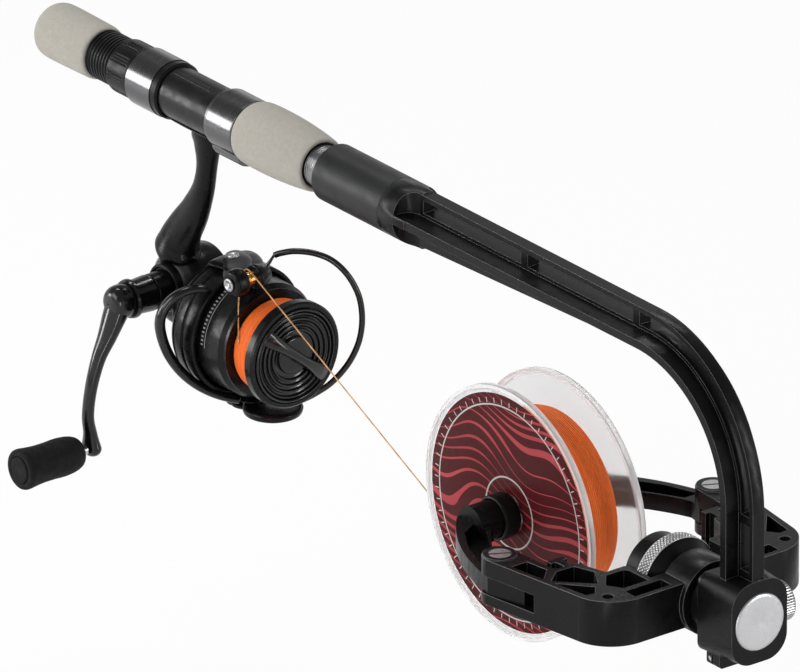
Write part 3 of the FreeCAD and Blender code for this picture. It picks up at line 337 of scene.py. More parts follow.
def marked_skirt(colour, roughness):
    """Painted spool: short even ticks and a thin line printed round the skirt, in arcs."""
    finish = Finish("satin black spool", colour, roughness, Specular_IOR_Level=0.25)
    x, y, z = finish.spots()
    ticks_round, ticks_an_arc = 90, 30
    angle = finish.math("ARCTAN2", finish.minus(z, REEL_Z * MM), y)
    turn = finish.times(angle, ticks_round / (2 * math.pi))
    tick = finish.times(finish.math("LESS_THAN", finish.fraction(turn), 0.42),
                        finish.near(x, 0.1232, 0.0007))
    part = finish.fraction(finish.times(turn, 1 / ticks_an_arc))
    mark = finish.math("MAXIMUM", tick, finish.near(x, 0.1251, 0.00018))
    mark = finish.times(finish.times(mark, finish.math("LESS_THAN", part, 0.5)),
                        finish.math("GREATER_THAN", finish.distance(0, REEL), 0.0262))
    cloud = finish.spread(finish.noise(0.012, 3), 0.35, 0.7)
    finish.colour(finish.mix(mark, finish.shades(cloud, colour, 0.8, 1.3), (0.3, 0.3, 0.3)))
    finish.roughness(finish.noise(0.004, 4), roughness - 0.05, roughness + 0.08)
    finish.bump(finish.noise(0.0002, 2), 0.000004)
    return finish.material


def foam(colour):
    """Closed-cell foam: matt, with small open pores darkened by painted shade, mottling and a soft
    sheen.
    """
    finish = Finish("grey grip foam", colour, 0.95, Sheen_Weight=0.1, Sheen_Roughness=0.6,
                    Specular_IOR_Level=0.25)
    pores = finish.spread(finish.cells(0.0006), 0.1, 0.4)
    mottle = finish.spread(finish.noise(0.0022, 5, roughness=0.65), 0.3, 0.7)
    # Darker pores are painted shade.
    finish.colour(finish.mix(pores, shade(colour, 0.78),
                             finish.shades(mottle, colour, 0.95, 1.04)))
    finish.bump(finish.noise(0.0016, 3), 0.00003)
    finish.bump(pores, 0.00007)
    return finish.material


def rubber(colour, roughness):
    """Soft matt rubber: fine grain, dust-like lighter bloom."""
    finish = Finish("black rubber", colour, roughness, Specular_IOR_Level=0.22)
    bloom = finish.spread(finish.noise(0.005, 5), 0.4, 0.8)
    finish.colour(finish.shades(bloom, colour, 1, 1.5))
    finish.roughness(finish.noise(0.003, 3), roughness - 0.08, roughness + 0.08)
    finish.bump(finish.cells(0.0004), 0.00004)
    return finish.material


def clear_plastic():
    """Clear polystyrene, frosted towards the rims, with faint ripples and handling marks."""
    finish = Finish("clear spool plastic", (0.97, 0.975, 0.98), 0.12, IOR=1.22)
    clear = finish.spread(finish.distance(1, SPOOL), 0.0548, 0.0566, 0.94, 0.55)
    finish.links.new(clear, finish.shader.inputs["Transmission Weight"])
    finish.roughness(finish.noise(0.004, 5), 0.1, 0.18)
    finish.bump(finish.noise(0.02, 1), 0.00002)
    finish.bump(finish.noise(0.0006, 3), 0.000001)
    return finish.material


def wound_line(name, colour, pitch, axis):
    """Braided line on a spool: each turn has its own shade, with fine fibres over all."""
    finish = Finish(name, colour, 0.5, Specular_IOR_Level=0.25)
    scale = [0.05, 0.05, 0.05]
    scale[axis] = 1.0
    turns = finish.noise(pitch * 1.6, 2, finish.stretched(scale))
    tint = finish.shades(finish.spread(turns, 0.35, 0.65), colour, 0.84, 1.15)
    finish.colour(finish.mix(finish.spread(finish.noise(0.004, 3), 0.3, 0.75), tint, colour))
    finish.roughness(turns, 0.42, 0.62)
    finish.bump(finish.noise(0.00018, 2), 0.00004)
    return finish.material


def braid(colour, diameter):
    """Braided running line: slanting fibres, a sine of X and Z that is finer on thinner line."""
    finish = Finish("tan running line", colour, 0.45, Sheen_Weight=0.3)
    x, _, z = finish.spots()
    finer = 0.0006 / diameter
    fibre = finish.math("SINE", finish.plus(finish.times(x, 2200 * finer),
                                            finish.times(z, 3000 * finer)))
    finish.colour(finish.shades(finish.spread(fibre, -1, 1), colour, 0.7, 1.12))
    finish.bump(fibre, 0.00003)
    return finish.material


def printed_label(ground, lines):
    """Printed film: wavy contour lines over the face, a pale rim line, ticks and a hub line.

    Contours are the fractional part of a slanted height that a sine and a noise bend.
    """
    finish = Finish("printed spool label", ground, 0.45, Specular_IOR_Level=0.08)
    plus, times = finish.plus, finish.times
    spots = finish.spots()
    x = finish.minus(spots[0], SPOOL[0] * MM)
    z = finish.minus(spots[2], HUB_Z * MM)
    sway = finish.math("SINE", plus(times(x, 105), times(z, 32)))
    bend = finish.noise(0.055, 0, finish.stretched((0.8, 1, 2.0)))
    height = plus(times(z, 185), plus(times(x, 12), times(sway, 0.6)))
    height = plus(height, times(bend, 5))
    step = finish.math("ABSOLUTE", finish.minus(finish.fraction(height), 0.5))
    width = finish.spread(finish.noise(0.035, 0, finish.stretched((0.6, 1, 1.4))),
                          0.35, 0.65, 0.05, 0.22)
    line = finish.spread(finish.minus(width, step), 0.0, 0.02)
    tint = finish.mix(finish.spread(finish.noise(0.05, 1), 0.4, 0.6), lines, shade(lines, 0.72))
    radius = finish.distance(1, SPOOL)
    ticks_round = 60
    turn = times(finish.math("ARCTAN2", z, x), ticks_round / (2 * math.pi))
    tick = times(finish.math("LESS_THAN", finish.fraction(turn), 0.09),
                 finish.near(radius, 0.0515, 0.0012))
    marks = finish.math("MAXIMUM", finish.near(radius, 0.0495, 0.00035), tick)
    marks = finish.math("MAXIMUM", marks, finish.near(radius, 0.0165, 0.0004))
    finish.colour(finish.mix(marks, finish.mix(line, ground, tint), (0.5, 0.48, 0.46)))
    finish.roughness(finish.noise(0.002, 4), 0.36, 0.5)
    finish.bump(finish.noise(0.0015, 3), 0.000004)
    return finish.material


def make_materials(settings, line):
    """All finishes by name."""
    black = tuple(settings.plastic)
    dull, gloss = 0.17, 0.5
    steel = (0.6, 0.6, 0.61)
    return {
        "plastic": moulded("satin black moulding", black, 0.31, Specular_IOR_Level=dull),
        # The edge finish's lighter black is a painted highlight on the round edges.
        "edge": moulded("black edges with painted highlight", (0.15, 0.15, 0.153), 0.24, Specular_IOR_Level=gloss),
        "seat": grooved_seat(shade(black, 1.2), 0.32),
        "ring plastic": moulded("satin black rings", black, 0.32, 0.0003,
                                Specular_IOR_Level=dull),
        "sleeve": moulded("dark grey sleeve", (0.011, 0.0115, 0.0125), 0.42, 0.0003,
                          Specular_IOR_Level=0.3),
        "foam": foam(tuple(settings.foam)),
        "gunmetal": turned_metal("turned gunmetal", (0.13, 0.13, 0.133), 0.2, 0),
        # The dark ring's near-black is partly its own colour and partly painted shade in the grip's
        # mouth.
        "dark ring": turned_metal("dark ring with painted mouth shade", (0.02, 0.02, 0.021), 0.3, 0),
        "graphite": turned_metal("threaded graphite", (0.3, 0.3, 0.305), 0.26, 0),
        "steel": turned_metal("bright turned steel", steel, 0.22, 1),
        "steel x": turned_metal("bright steel along X", steel, 0.22, 0),
        "knurl": knurled("knurled steel band", 0, HUB, 0.0196, 0.01998),
        "thumb knurl": knurled("knurled thumb screw", 1, (473, 0, HUB_Z), 0.0088, 0.0092),
        "slotted screw": slotted_screw(),
        "shaft steel": turned_metal("ground shaft steel", (0.42, 0.42, 0.44), 0.3, 0),
        "disc": brushed_metal("brushed hub disc", (0.62, 0.62, 0.63), 0.3, (1, 1, 0.04)),
        "screw": brushed_metal("brushed screw head", (0.5, 0.5, 0.51), 0.3, (1, 0.05, 1)),
        "reel": cast_paint("satin black reel", (0.0045, 0.0045, 0.005), 0.23, dull),
        "gloss": cast_paint("gloss black crank", (0.004, 0.004, 0.0045), 0.16, gloss),
        "reel spool": marked_skirt((0.005, 0.005, 0.0055), 0.26),
        "rubber": rubber((0.0055, 0.0055, 0.006), 0.75),
        "clear": clear_plastic(),
        "wound": wound_line("orange line on filler", tuple(line.wound), line.strand, 1),
        "reel wound": wound_line("orange line on reel", tuple(line.wound), line.strand, 0),
        "braid": braid(tuple(line.running), line.diameter),
        "label": printed_label(tuple(settings.label), tuple(settings.label_lines)),
        "gold": turned_metal("gold roller", (0.75, 0.42, 0.13), 0.2, 1),
        "brass": turned_metal("brass gear", (0.6, 0.44, 0.2), 0.32, 1),
        "spring": turned_metal("spring steel", (0.45, 0.45, 0.47), 0.3, 2),
    }


# The material slot of new pieces, by finish.
MATERIALS = {}


def material(name):
    if not MATERIALS:
        scene = bpy.context.scene
        MATERIALS.update(make_materials(scene.winder_finish, scene.winder_line))
    return MATERIALS[name]


# ---------------------------------------------------------------- shapes

def dress(node, finish, bevel=0.0, edge=None):
    """Gives a CAD node its finish and, if asked, small round edges, which may differ in finish: a
    lighter one there is a painted highlight.
    """
    item = NODES[node]
    item.data.materials.clear()
    item.data.materials.append(material(finish))
    if edge:
        item.data.materials.append(material(edge))
    if bevel:
        weld = item.modifiers.new("weld", "WELD")
        weld.merge_threshold = 1e-6
        flat = item.modifiers.new("flats", "DECIMATE")
        flat.decimate_type = "DISSOLVE"
        flat.angle_limit = math.radians(0.3)
        round_edge = item.modifiers.new("edges", "BEVEL")
        round_edge.width = bevel * MM
        round_edge.segments = 2
        round_edge.limit_method = "ANGLE"
        round_edge.angle_limit = math.radians(35)
        round_edge.harden_normals = True
        round_edge.use_clamp_overlap = True
        # A second finish here paints a highlight on the round edges.
        round_edge.material = 1 if edge else -1


def dress_each(**finishes):
    for node, finish in finishes.items():
        dress(node, finish)


def grid_mesh(name, points, finish, node=None, body="frame", slot=None, wrap_v=False):
    """A closed mesh from a grid of points (u, v, 3), with its faces worked out as whole arrays.

    The last row joins the first. The last column joins the first with wrap_v, and otherwise
    one face closes each end. Faces are turned round if they enclose a negative volume. The
    piece stands for a CAD node, if one is given, and rides the body.
    """
    rows, columns = points.shape[:2]
    index = np.arange(rows * columns).reshape(rows, columns)
    u = np.arange(rows)
    v = np.arange(columns if wrap_v else columns - 1)
    u_next, v_next = (u + 1) % rows, (v + 1) % columns
    quads = np.stack([index[np.ix_(u, v)], index[np.ix_(u_next, v)],
                      index[np.ix_(u_next, v_next)], index[np.ix_(u, v_next)]], axis=-1)
    quads = quads.reshape(-1, 4)
    ends = [] if wrap_v else [index[::-1, 0], index[:, -1]]
    flat = points.reshape(-1, 3)
    a, b, c, d = (flat[quads[:, i]] for i in range(4))
    volume = np.sum(a * np.cross(b, c)) + np.sum(a * np.cross(c, d))
    if volume < 0:
        quads, ends = quads[:, ::-1], [ring[::-1] for ring in ends]
    mesh = bpy.data.meshes.new(name)
    mesh.from_pydata(flat.tolist(), [], quads.tolist() + [ring.tolist() for ring in ends])
    mesh.shade_smooth()
    mesh.validate()
    item = bpy.data.objects.new(name, mesh)
    bpy.context.scene.collection.objects.link(item)
    item.data.materials.append(material(finish))
    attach(item, body)
    if node:
        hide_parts(node)


def spline(points, steps=10):
    """Catmull-Rom curve through rows of numbers, with that many steps to each of its spans.

    Between rows 1 and 2 it is ((-t3+2t2-t) p0 + (3t3-5t2+2) p1 + (-3t3+4t2+t) p2 + (t3-t2) p3) / 2.
    """
    points = np.asarray(points, float)
    padded = np.concatenate([2 * points[:1] - points[1:2], points, 2 * points[-1:] - points[-2:-1]])
    t = np.linspace(0, 1, steps, endpoint=False)[None, :, None]
    p0, p1, p2, p3 = (padded[i:len(padded) - 3 + i][:, None] for i in range(4))
    curve = ((-t ** 3 + 2 * t ** 2 - t) * p0 + (3 * t ** 3 - 5 * t ** 2 + 2) * p1
             + (-3 * t ** 3 + 4 * t ** 2 + t) * p2 + (t ** 3 - t ** 2) * p3) / 2
    return np.concatenate([curve.reshape(-1, points.shape[1]), points[-1:]])


def swept(name, finish, stations, side, around=32, steps=10, **options):
    """A bar along a smooth plane curve with oval sections that swell and narrow.

    stations are rows of (x, y, z, half width along side, half height across it); side is the
    unit normal of the curve's plane. Each end rounds off over its own half height.
    """
    rows = spline(stations, steps) * MM
    path, wide, high = rows[:, :3], rows[:, 3], rows[:, 4]
    along = np.gradient(path, axis=0)
    along /= np.linalg.norm(along, axis=1)[:, None]
    turn = np.linspace(0, np.pi / 2, 7)[1:]
    for end in (0, -1):
        out = along[end] * (-1 if end == 0 else 1)
        cap = path[end] + np.sin(turn)[:, None] * high[end] * out
        shrink = np.maximum(np.cos(turn), 0.02)
        order = slice(None, None, -1) if end == 0 else slice(None)
        pieces = [[cap[order], path], [np.repeat(along[end][None], 6, 0), along],
                  [(shrink * wide[end])[order], wide], [(shrink * high[end])[order], high]]
        if end == -1:
            pieces = [pair[::-1] for pair in pieces]
        path, along, wide, high = (np.concatenate(pair) for pair in pieces)
    side = np.asarray(side, float) / np.linalg.norm(side)
    across = np.cross(along, side)
    angle = np.arange(around) / around * 2 * np.pi
    points = (path + np.cos(angle)[:, None, None] * wide[:, None] * side
              + np.sin(angle)[:, None, None] * high[:, None] * across)
    grid_mesh(name, points, finish, **options)


def dense(profile, step):
    """A closed outline with points added so that none are further apart than step."""
    profile = np.asarray(profile, float)
    parts = []
    for start, end in zip(profile, np.roll(profile, -1, axis=0)):
        count = max(1, int(np.ceil(np.linalg.norm(end - start) / step)))
        parts.append(start + (end - start) * (np.arange(count) / count)[:, None])
    return np.concatenate(parts)


def eased(profile, radius, steps=4):
    """A closed outline with each corner cut to a quadratic curve that starts radius before it."""
    profile = np.asarray(profile, float)
    before, after = np.roll(profile, 1, axis=0) - profile, np.roll(profile, -1, axis=0) - profile
    to_before, to_after = (np.linalg.norm(way, axis=1)[:, None] for way in (before, after))
    reach = np.minimum(radius, 0.45 * np.minimum(to_before, to_after))
    start, end = profile + before / to_before * reach, profile + after / to_after * reach
    t = np.linspace(0, 1, steps + 1)[None, :, None]
    curve = ((1 - t) ** 2 * start[:, None] + 2 * t * (1 - t) * profile[:, None]
             + t ** 2 * end[:, None])
    return curve.reshape(-1, 2)


def box(back, front, outer, bore):
    """Outline of a plain ring."""
    return [(back, bore), (back, outer), (front, outer), (front, bore)]


def turned(name, finish, axis, centre, profile, around=96, relief=None, **options):
    """A ring turned about an axis (0 X, 1 Y, 2 Z): profile is a closed outline of (along, radius).

    A point at angle a is centre + along on the axis + radius (cos a, sin a) across it; relief
    is a function of (angle, along, radius) that is added to the radius.
    """
    profile = np.asarray(profile, float)
    angle = np.arange(around) / around * 2 * np.pi
    along = np.broadcast_to(profile[:, 0], (around, len(profile)))
    radius = np.broadcast_to(profile[:, 1], along.shape)
    turn = np.broadcast_to(angle[:, None], along.shape)
    if relief is not None:
        radius = radius + relief(turn, along, radius)
    points = np.empty(along.shape + (3,))
    others = [i for i in range(3) if i != axis]
    points[..., axis] = along
    points[..., others[0]] = radius * np.cos(turn)
    points[..., others[1]] = radius * np.sin(turn)
    grid_mesh(name, (points + np.asarray(centre)) * MM, finish, wrap_v=True, **options)


def between(along, back, front, fade):
    """1 between two places along an axis, falling to 0 at them over the fade."""
    return np.clip(np.minimum(along - back, front - along) / fade, 0, 1)


# ---------------------------------------------------------------- rod handle

def butt_grip():
    """Foam grip with a domed end and a slight taper towards the seat."""
    turned("butt_grip_foam", "foam", 0, HANDLE, spline([
        (-20.9, 0), (-20.9, 5), (-20.5, 8.8), (-19.2, 11.2), (-16.5, 12.7), (-12, 13.1), (0, 13),
        (11, 12.8), (15, 12.7), (17, 12.2), (17.7, 11.2), (17.8, 9.5), (17.8, 8.5), (17, 8.2),
        (-10, 8.2), (-15, 6), (-15.8, 0)], 6), node="butt_grip")


def fore_grip():
    """Barrel-shaped foam whose mouth closes round a ring set in it; the ring's near-black is partly
    its own colour and partly painted shade inside the mouth.
    """
    turned("fore_grip_foam", "foam", 0, HANDLE, spline([
        (127.05, 12), (127.15, 13.2), (128.2, 14.2), (132, 14.8), (142, 15), (153, 14.7),
        (163, 14), (170.5, 13.2), (174.2, 12.6), (175.2, 11.9), (175, 10.9), (173.8, 10.4),
        (172.4, 10.3), (172.2, 9.5), (171.5, 9), (130, 8.9), (127.5, 9), (127.1, 10)], 6),
        node="fore_grip")
    # This ring's near-black is partly its own colour and partly painted shade in the mouth.
    turned("grip_ring_inset", "dark ring", 0, HANDLE, eased(box(172.25, 174.6, 10.2, 8.05), 0.4),
           node="grip_ring")


def seat_thread():
    """Coarse rounded thread on the seat's barrel, from the grip to the lock nut."""
    back, front, pitch, root = 17.6, 34.9, 2, 10.7
    along = np.arange(back, front, pitch / 10)
    crest_over_groove_shade = np.clip(0.5 - 0.7 * np.cos(2 * np.pi * (along - back) / pitch), 0, 1)
    outline = np.concatenate([np.stack([along, root + 0.82 * crest_over_groove_shade], 1),
                              [(front, root - 0.5), (back, root - 0.5)]])
    turned("seat_thread", "ring plastic", 0, HANDLE, outline)


def fixed_hood():
    """Ring round the seat's front, swollen below, where it holds the reel's foot."""
    back, front, outer, bore = 107, 126.95, 13.9, 11.85
    outline = dense(eased([(back, bore), (back, outer - 0.6), (back + 1.4, outer - 0.6),
                           (back + 1.6, outer), (front, outer), (front, bore)], 0.3), 1)

    def swell(turn, along, radius):
        down = np.clip((-np.sin(turn) - 0.72) / 0.2, 0, 1)
        return 2.7 * down ** 2 * (3 - 2 * down) * (radius > bore + 0.3)

    turned("fixed_hood_ring", "gunmetal", 0, HANDLE, outline, 192, swell, node="fixed_hood")


def lock_nut():
    """Ring with groups of three slots along it: the slots are narrow dips in angle."""
    back, front, outer = 35, 49, 12.7
    groups, pitch, half_width = 9, 0.115, 0.034

    def slots(turn, along, radius):
        in_group = (turn / (2 * np.pi) * groups) % 1 * (2 * np.pi / groups)
        depth = np.zeros_like(turn)
        for step in (-1, 0, 1):
            away = np.abs(in_group - np.pi / groups - step * pitch)
            depth = np.maximum(depth, np.clip(1.4 - away / half_width, 0, 1))
        ends = between(along, back + 1.8, front - 2.2, 0.4)
        return -0.5 * depth * ends * (radius > outer - 0.2)

    turned("lock_nut_slotted", "ring plastic", 0, HANDLE,
           dense(eased(box(back, front, outer, 11.6), 0.6), 0.7), 540, slots, body="nut",
           node="lock_nut")


def ferrule():
    """Tube with a fine screw thread: the radius follows a cosine of along minus the turn."""
    back, front, outer, pitch = 174.8, 204, 9.7, 1.3

    def thread(turn, along, radius):
        wave = 0.5 - 0.5 * np.cos(2 * np.pi * (along / pitch) - turn)
        return -0.42 * wave * between(along, back, front, 0.8) * (radius > outer - 0.1)

    turned("ferrule_thread", "graphite", 0, HANDLE, dense(box(back, front, outer, 8.05), 0.22),
           96, thread, node="ferrule")


# ---------------------------------------------------------------- arm, yoke and spool

def hub_cap():
    turned("hub_cap_disc", "disc", 0, HUB, eased([
        (483.45, 0), (483.45, 13.35), (485.1, 13.35), (485.6, 12.9), (485.85, 12.1), (485.9, 0)],
        0.3), 128, node="hub_cap")


def thumb_screw():
    """Screw head with straight knurling: teeth are a cosine in angle on its rim."""
    inner, outer, radius, teeth = 15.7, 23.2, 9.2, 44
    profile = [(5.3, 0), (5.3, 2.5), (inner, 2.5), (inner, 8.4), (inner + 0.7, radius),
               (outer - 0.7, radius), (outer, 8.4), (outer, 6), (outer - 0.5, 5.5),
               (outer - 0.5, 0)]

    def knurl(turn, along, r):
        rim = np.clip((r - 8.3) / 0.4, 0, 1)
        return -0.3 * (0.5 + 0.5 * np.cos(teeth * turn)) * rim

    turned("thumb_screw_knurled", "thumb knurl", 1, (473, 0, HUB_Z),
           dense(eased(profile, 0.3, 2), 0.8), teeth * 8, knurl, body="thumb",
           node="thumb_screw")


def cone(side, sign):
    """A ball-nosed cone that holds the spool's bore and cups the lever's boss."""
    outline = spline([
        (9.4, 2.2), (9.6, 3.6), (11.5, 6.2), (13.6, 8), (15, 9.1), (16.2, 9.9), (19, 10.5),
        (22, 10.4), (23.8, 10.1), (24.2, 9.6), (24, 9), (20, 8.9), (17.4, 8.8), (17.2, 5),
        (17.2, 2.2)], 5)
    outline[:, 0] *= sign
    turned("cone_%s_ball" % side, "ring plastic", 1, SPOOL, outline, slot="rubber_black",
           body=side + "_cone", node="cone_" + side)


def knob_band():
    """Band with two families of slanted grooves that leave diamonds between them."""
    back, front, outer = 422.55, 429.55, 20.1
    crossings, lead = 72, 2.2

    def knurl(turn, along, radius):
        one, two = (np.abs(np.sin(crossings * turn / 2 + way * np.pi * along / lead))
                    for way in (1, -1))
        cut = 1 - np.clip(np.minimum(one, two) / 0.75, 0, 1)
        return -0.55 * cut * between(along, back, front, 0.8) * (radius > outer - 0.3)

    turned("knob_band_knurled", "knurl", 0, HUB,
           dense(eased(box(back, front, outer, 18.05), 0.6), 0.25), crossings * 10, knurl,
           body="knob", node="knob_band")


def winding(name, finish, axis, centre, low, high, inner, crown, pitch, wobble, **options):
    """Wound line: turns side by side, whose radius is a row of arches over a crowned outline.

    crown is a list of (along, radius) that the arches follow; a few turns lie lower. Sizes
    here are in metres, as the pitch is.
    """
    along = np.arange(low, high, pitch / 8)
    level = np.interp(along, *np.transpose(crown))
    count = int(np.ceil((high - low) / pitch)) + 2
    random = np.random.default_rng(7)
    rise = random.uniform(-1, 0.25, count) * wobble
    phase = random.uniform(0, 2 * np.pi, count)
    arch = np.sqrt(np.clip(1 - (2 * ((along - low) / pitch % 1) - 1) ** 2, 0, 1)) * pitch / 2
    outer = np.stack([along, level + arch - pitch / 2], axis=1)
    profile = np.concatenate([outer, [(high, inner), (low, inner)]])
    turns = np.concatenate([np.floor((along - low) / pitch).astype(int), [0, 0]])

    def lie(turn, place, radius):
        swell = rise[turns][None, :] * (0.75 + 0.25 * np.sin(2 * turn + phase[turns][None, :]))
        return swell / MM * (radius > inner / MM + 0.5)

    turned(name, finish, axis, centre, profile / MM, 128, lie, **options)


def filler_winding(pitch):
    crown = [(-0.01305, 0.0419), (-0.0105, 0.0430), (0.0105, 0.0430), (0.01305, 0.0419)]
    winding("filler_winding", "wound", 1, SPOOL, -0.01303, 0.01303, 0.02405, crown, pitch,
            0.00035, body="filler", node="filler_line")


def spool_label():
    """Printed disc on the flange's face, from the cone to just inside the rim."""
    turned("spool_label_print", "label", 1, SPOOL, eased(
        [(-14.53, 9.4), (-14.53, 54.8), (-14.85, 54.8), (-14.85, 9.4)], 0.1, 2), 192,
        body="filler", node="spool_label")


# ---------------------------------------------------------------- reel

def reel_casting():
    """Foot, curved stem, round case, neck behind the rotor and boss on the crank's axis."""
    shell = {"node": "reel_body"}
    swept("reel_body_foot", "reel", [
        (64, 0, -10.2, 5, 1), (75, 0, -10.3, 7, 1.3), (92, 0, -10.3, 7.4, 1.3),
        (105, 0, -10.3, 6.8, 1.2), (114, 0, -10.2, 5.2, 1)], LEFT_RIGHT, 32, 6, **shell)
    swept("reel_body_stem", "reel", [
        (91.5, 0, -10.5, 5.5, 6), (92, 0, -13.5, 5.5, 8.5), (92.5, 0, -19, 4.8, 7.4),
        (92.2, 0, -29, 4.3, 5.4), (89.5, 0, -41, 4.4, 6), (83.2, 0, -54, 5.2, 8),
        (76.5, 0, -64, 6.2, 9.4), (72.8, 0, -71, 7.8, 10.8), (71.2, 0, -76.5, 9.6, 12.2),
        (70.8, 0, -79, 9.8, 6)], LEFT_RIGHT, 48, 8, **shell)

    def room(turn, along, radius):
        """Fuller corner at the rear, behind which the slider travels."""
        share = np.clip(1.6 - np.abs(turn - 3.45) / 0.4, 0, 1) * (radius > 12.2)
        share = share * np.clip((3 - along) / 4, 0, 1)
        return share * np.maximum(18.8 + 0.15 * (radius - 15) - radius, 0)

    turned("reel_body_case", "reel", 1, (74, 0, -94.5), dense(eased([
        (-8.5, 5.6), (-8.5, 10.8), (-6.8, 14), (-3, 17.5), (1, 19), (6, 19.3), (12, 18.8),
        (16, 18), (16, 16.8), (9.5, 16.8), (0, 17.2), (-3.5, 15.5), (-5.6, 13), (-6.4, 10.5),
        (-6.4, 5.6)], 1), 1), 128, room, **shell)
    turned("reel_body_neck", "reel", 0, REEL, eased([
        (86, 7.1), (86, 15), (88.5, 16.8), (91.4, 16), (91.4, 7.1)], 1), **shell)
    turned("reel_body_boss", "reel", 1, CRANK, eased([
        (-18.2, 5.1), (-18.2, 8.2), (-9.2, 8.4), (-9.2, 9.4), (-10.8, 9.7), (-10.8, 10.7),
        (-9.5, 11.3), (-7, 11.4), (-7, 5.1)], 0.6), **shell)


def crank_arm():
    """A rounded boss on the crank's axis and a slender arm that swells into the knob's eye."""
    crank = {"body": "crank", "node": "crank_arm"}
    turned("crank_boss", "gloss", 1, CRANK, eased([
        (-30, 0), (-30, 6.8), (-33.5, 8), (-37.8, 7.6), (-40.6, 5.4), (-41.6, 0)], 1.8, 6), 64,
        **crank)
    swept("crank_bar", "gloss", [
        (74, -35.5, -92.5, 6.8, 5.2), (74, -38.5, -98.5, 6.4, 4.4), (74, -42.5, -107, 5, 3.6),
        (74, -47.2, -116, 3.7, 3), (73.9, -51.2, -129, 3.1, 2.7), (73.6, -52.8, -142, 3.1, 2.6),
        (73.2, -51.3, -151.5, 3.8, 2.9), (73, -50.5, -158.5, 5.5, 4)], (1, 0, 0), **crank)


def crank_knob():
    """A waisted rubber grip with a flared end, and a plain cap set in it."""
    turned("crank_knob_grip", "rubber", 1, CRANK_KNOB, spline([
        (-57.5, 2.6), (-57.7, 5), (-59, 6.9), (-62.5, 8.2), (-68, 8.8), (-74, 8.6), (-80, 8.6),
        (-85, 9), (-88.5, 9.4), (-90.3, 9.1), (-90.9, 8), (-90.8, 6.6), (-90.3, 6.4),
        (-90.3, 2.6)], 6), body="crank_grip", node="crank_knob")
    turned("crank_knob_cap", "rubber", 1, CRANK_KNOB, eased([
        (-89.5, 0), (-89.5, 6.2), (-90.9, 6.2), (-91.4, 5.6), (-91.5, 0)], 0.4, 3),
        body="crank_grip", node="knob_cap")


def rotor_cup():
    """The cup behind the spool, with stepped bands, and a curved arm above and below it."""
    turned("rotor_cup", "reel", 0, REEL, eased([
        (93.5, 4.3), (93.5, 15), (96, 20), (98.5, 23.8), (99, 23.2), (100, 24.5), (103, 28.4),
        (105, 29.6), (105.6, 29), (106.6, 29.1), (107.2, 30), (112, 30.4), (112.6, 29.8),
        (113.4, 29.8), (114, 30.4), (121, 30.3), (121, 28.4), (107.5, 28.4), (103, 24.5),
        (98.5, 18), (97.2, 13), (97.2, 4.3)], 0.5, 3), 160, body="rotor", node="rotor")
    for name, sign in (("upper", 1), ("lower", -1)):
        swept("rotor_arm_" + name, "reel", [
            (x, 0, REEL_Z + sign * height, thick, wide) for x, height, thick, wide in (
                (102, 26.8, 1.6, 10), (106.5, 30.2, 1.8, 11.8), (113, 31.3, 1.7, 11.5),
                (120, 31.3, 1.7, 9.5), (124.5, 31.3, 1.6, 6.5))], UP, 48, 8, body="rotor",
            node="rotor")


def rotor_guard():
    """A flat guard from the rim round one side to the lower arm.

    Its plane leans back. In it a tight arc is followed by a wide one, tangent to it, and
    both are widened outwards by a sine over their length.
    """
    def arc(start, stop):
        turns = np.radians(np.linspace(start, stop, 16))
        return np.stack([np.cos(turns), np.sin(turns)], 1)

    tight, wide, join = 15.7, 45, -8
    centre = np.array([27.5, 9.5])
    first, second = arc(104, join), arc(join, -76)
    path = np.concatenate([centre + tight * first,
                           centre + (tight - wide) * second[0] + wide * second[1:]])
    bow = np.sin(np.pi * np.linspace(0, 1, len(path)))
    out = path - (12, 0)
    path = path + out / np.linalg.norm(out, axis=1)[:, None] * (1.2 * bow ** 2)[:, None]
    rows = np.stack([129 - 0.447 * path[:, 0], -0.894 * path[:, 0], REEL_Z + path[:, 1],
                     2.1 + bow, 1.7 + 0.7 * bow], 1)
    swept("rotor_guard", "gloss", rows, (0.894, -0.447, 0), 24, 3, body="rotor", node="rotor")


def lifted(rows):
    """Stations of a bar with heights given from the reel's axis."""
    return [(x, y, REEL_Z + height, wide, high) for x, y, height, wide, high in rows]


def bail_lever():
    """A cover below the lower pivot: a shallow cone, and a plate from it to the wire's end."""
    turned("bail_lever_cover", "reel", 2, (132.5, 5.5, REEL_Z), eased([
        (-33.2, 0), (-33.2, 12.5), (-34.5, 13.8), (-36.8, 13.2), (-39.5, 7), (-41.2, 3.5),
        (-41.4, 0)], 0.6, 3), 48, body="bail", node="bail_lever")
    swept("bail_lever_plate", "reel", lifted([
        (115, -1, -35.8, 2, 5), (119, 0.5, -35.8, 2.1, 6.6), (126, 5, -35.2, 2.2, 6.8),
        (133, 10.5, -34.4, 2.6, 4.8)]), UP, 32, 8, body="bail", node="bail_lever")


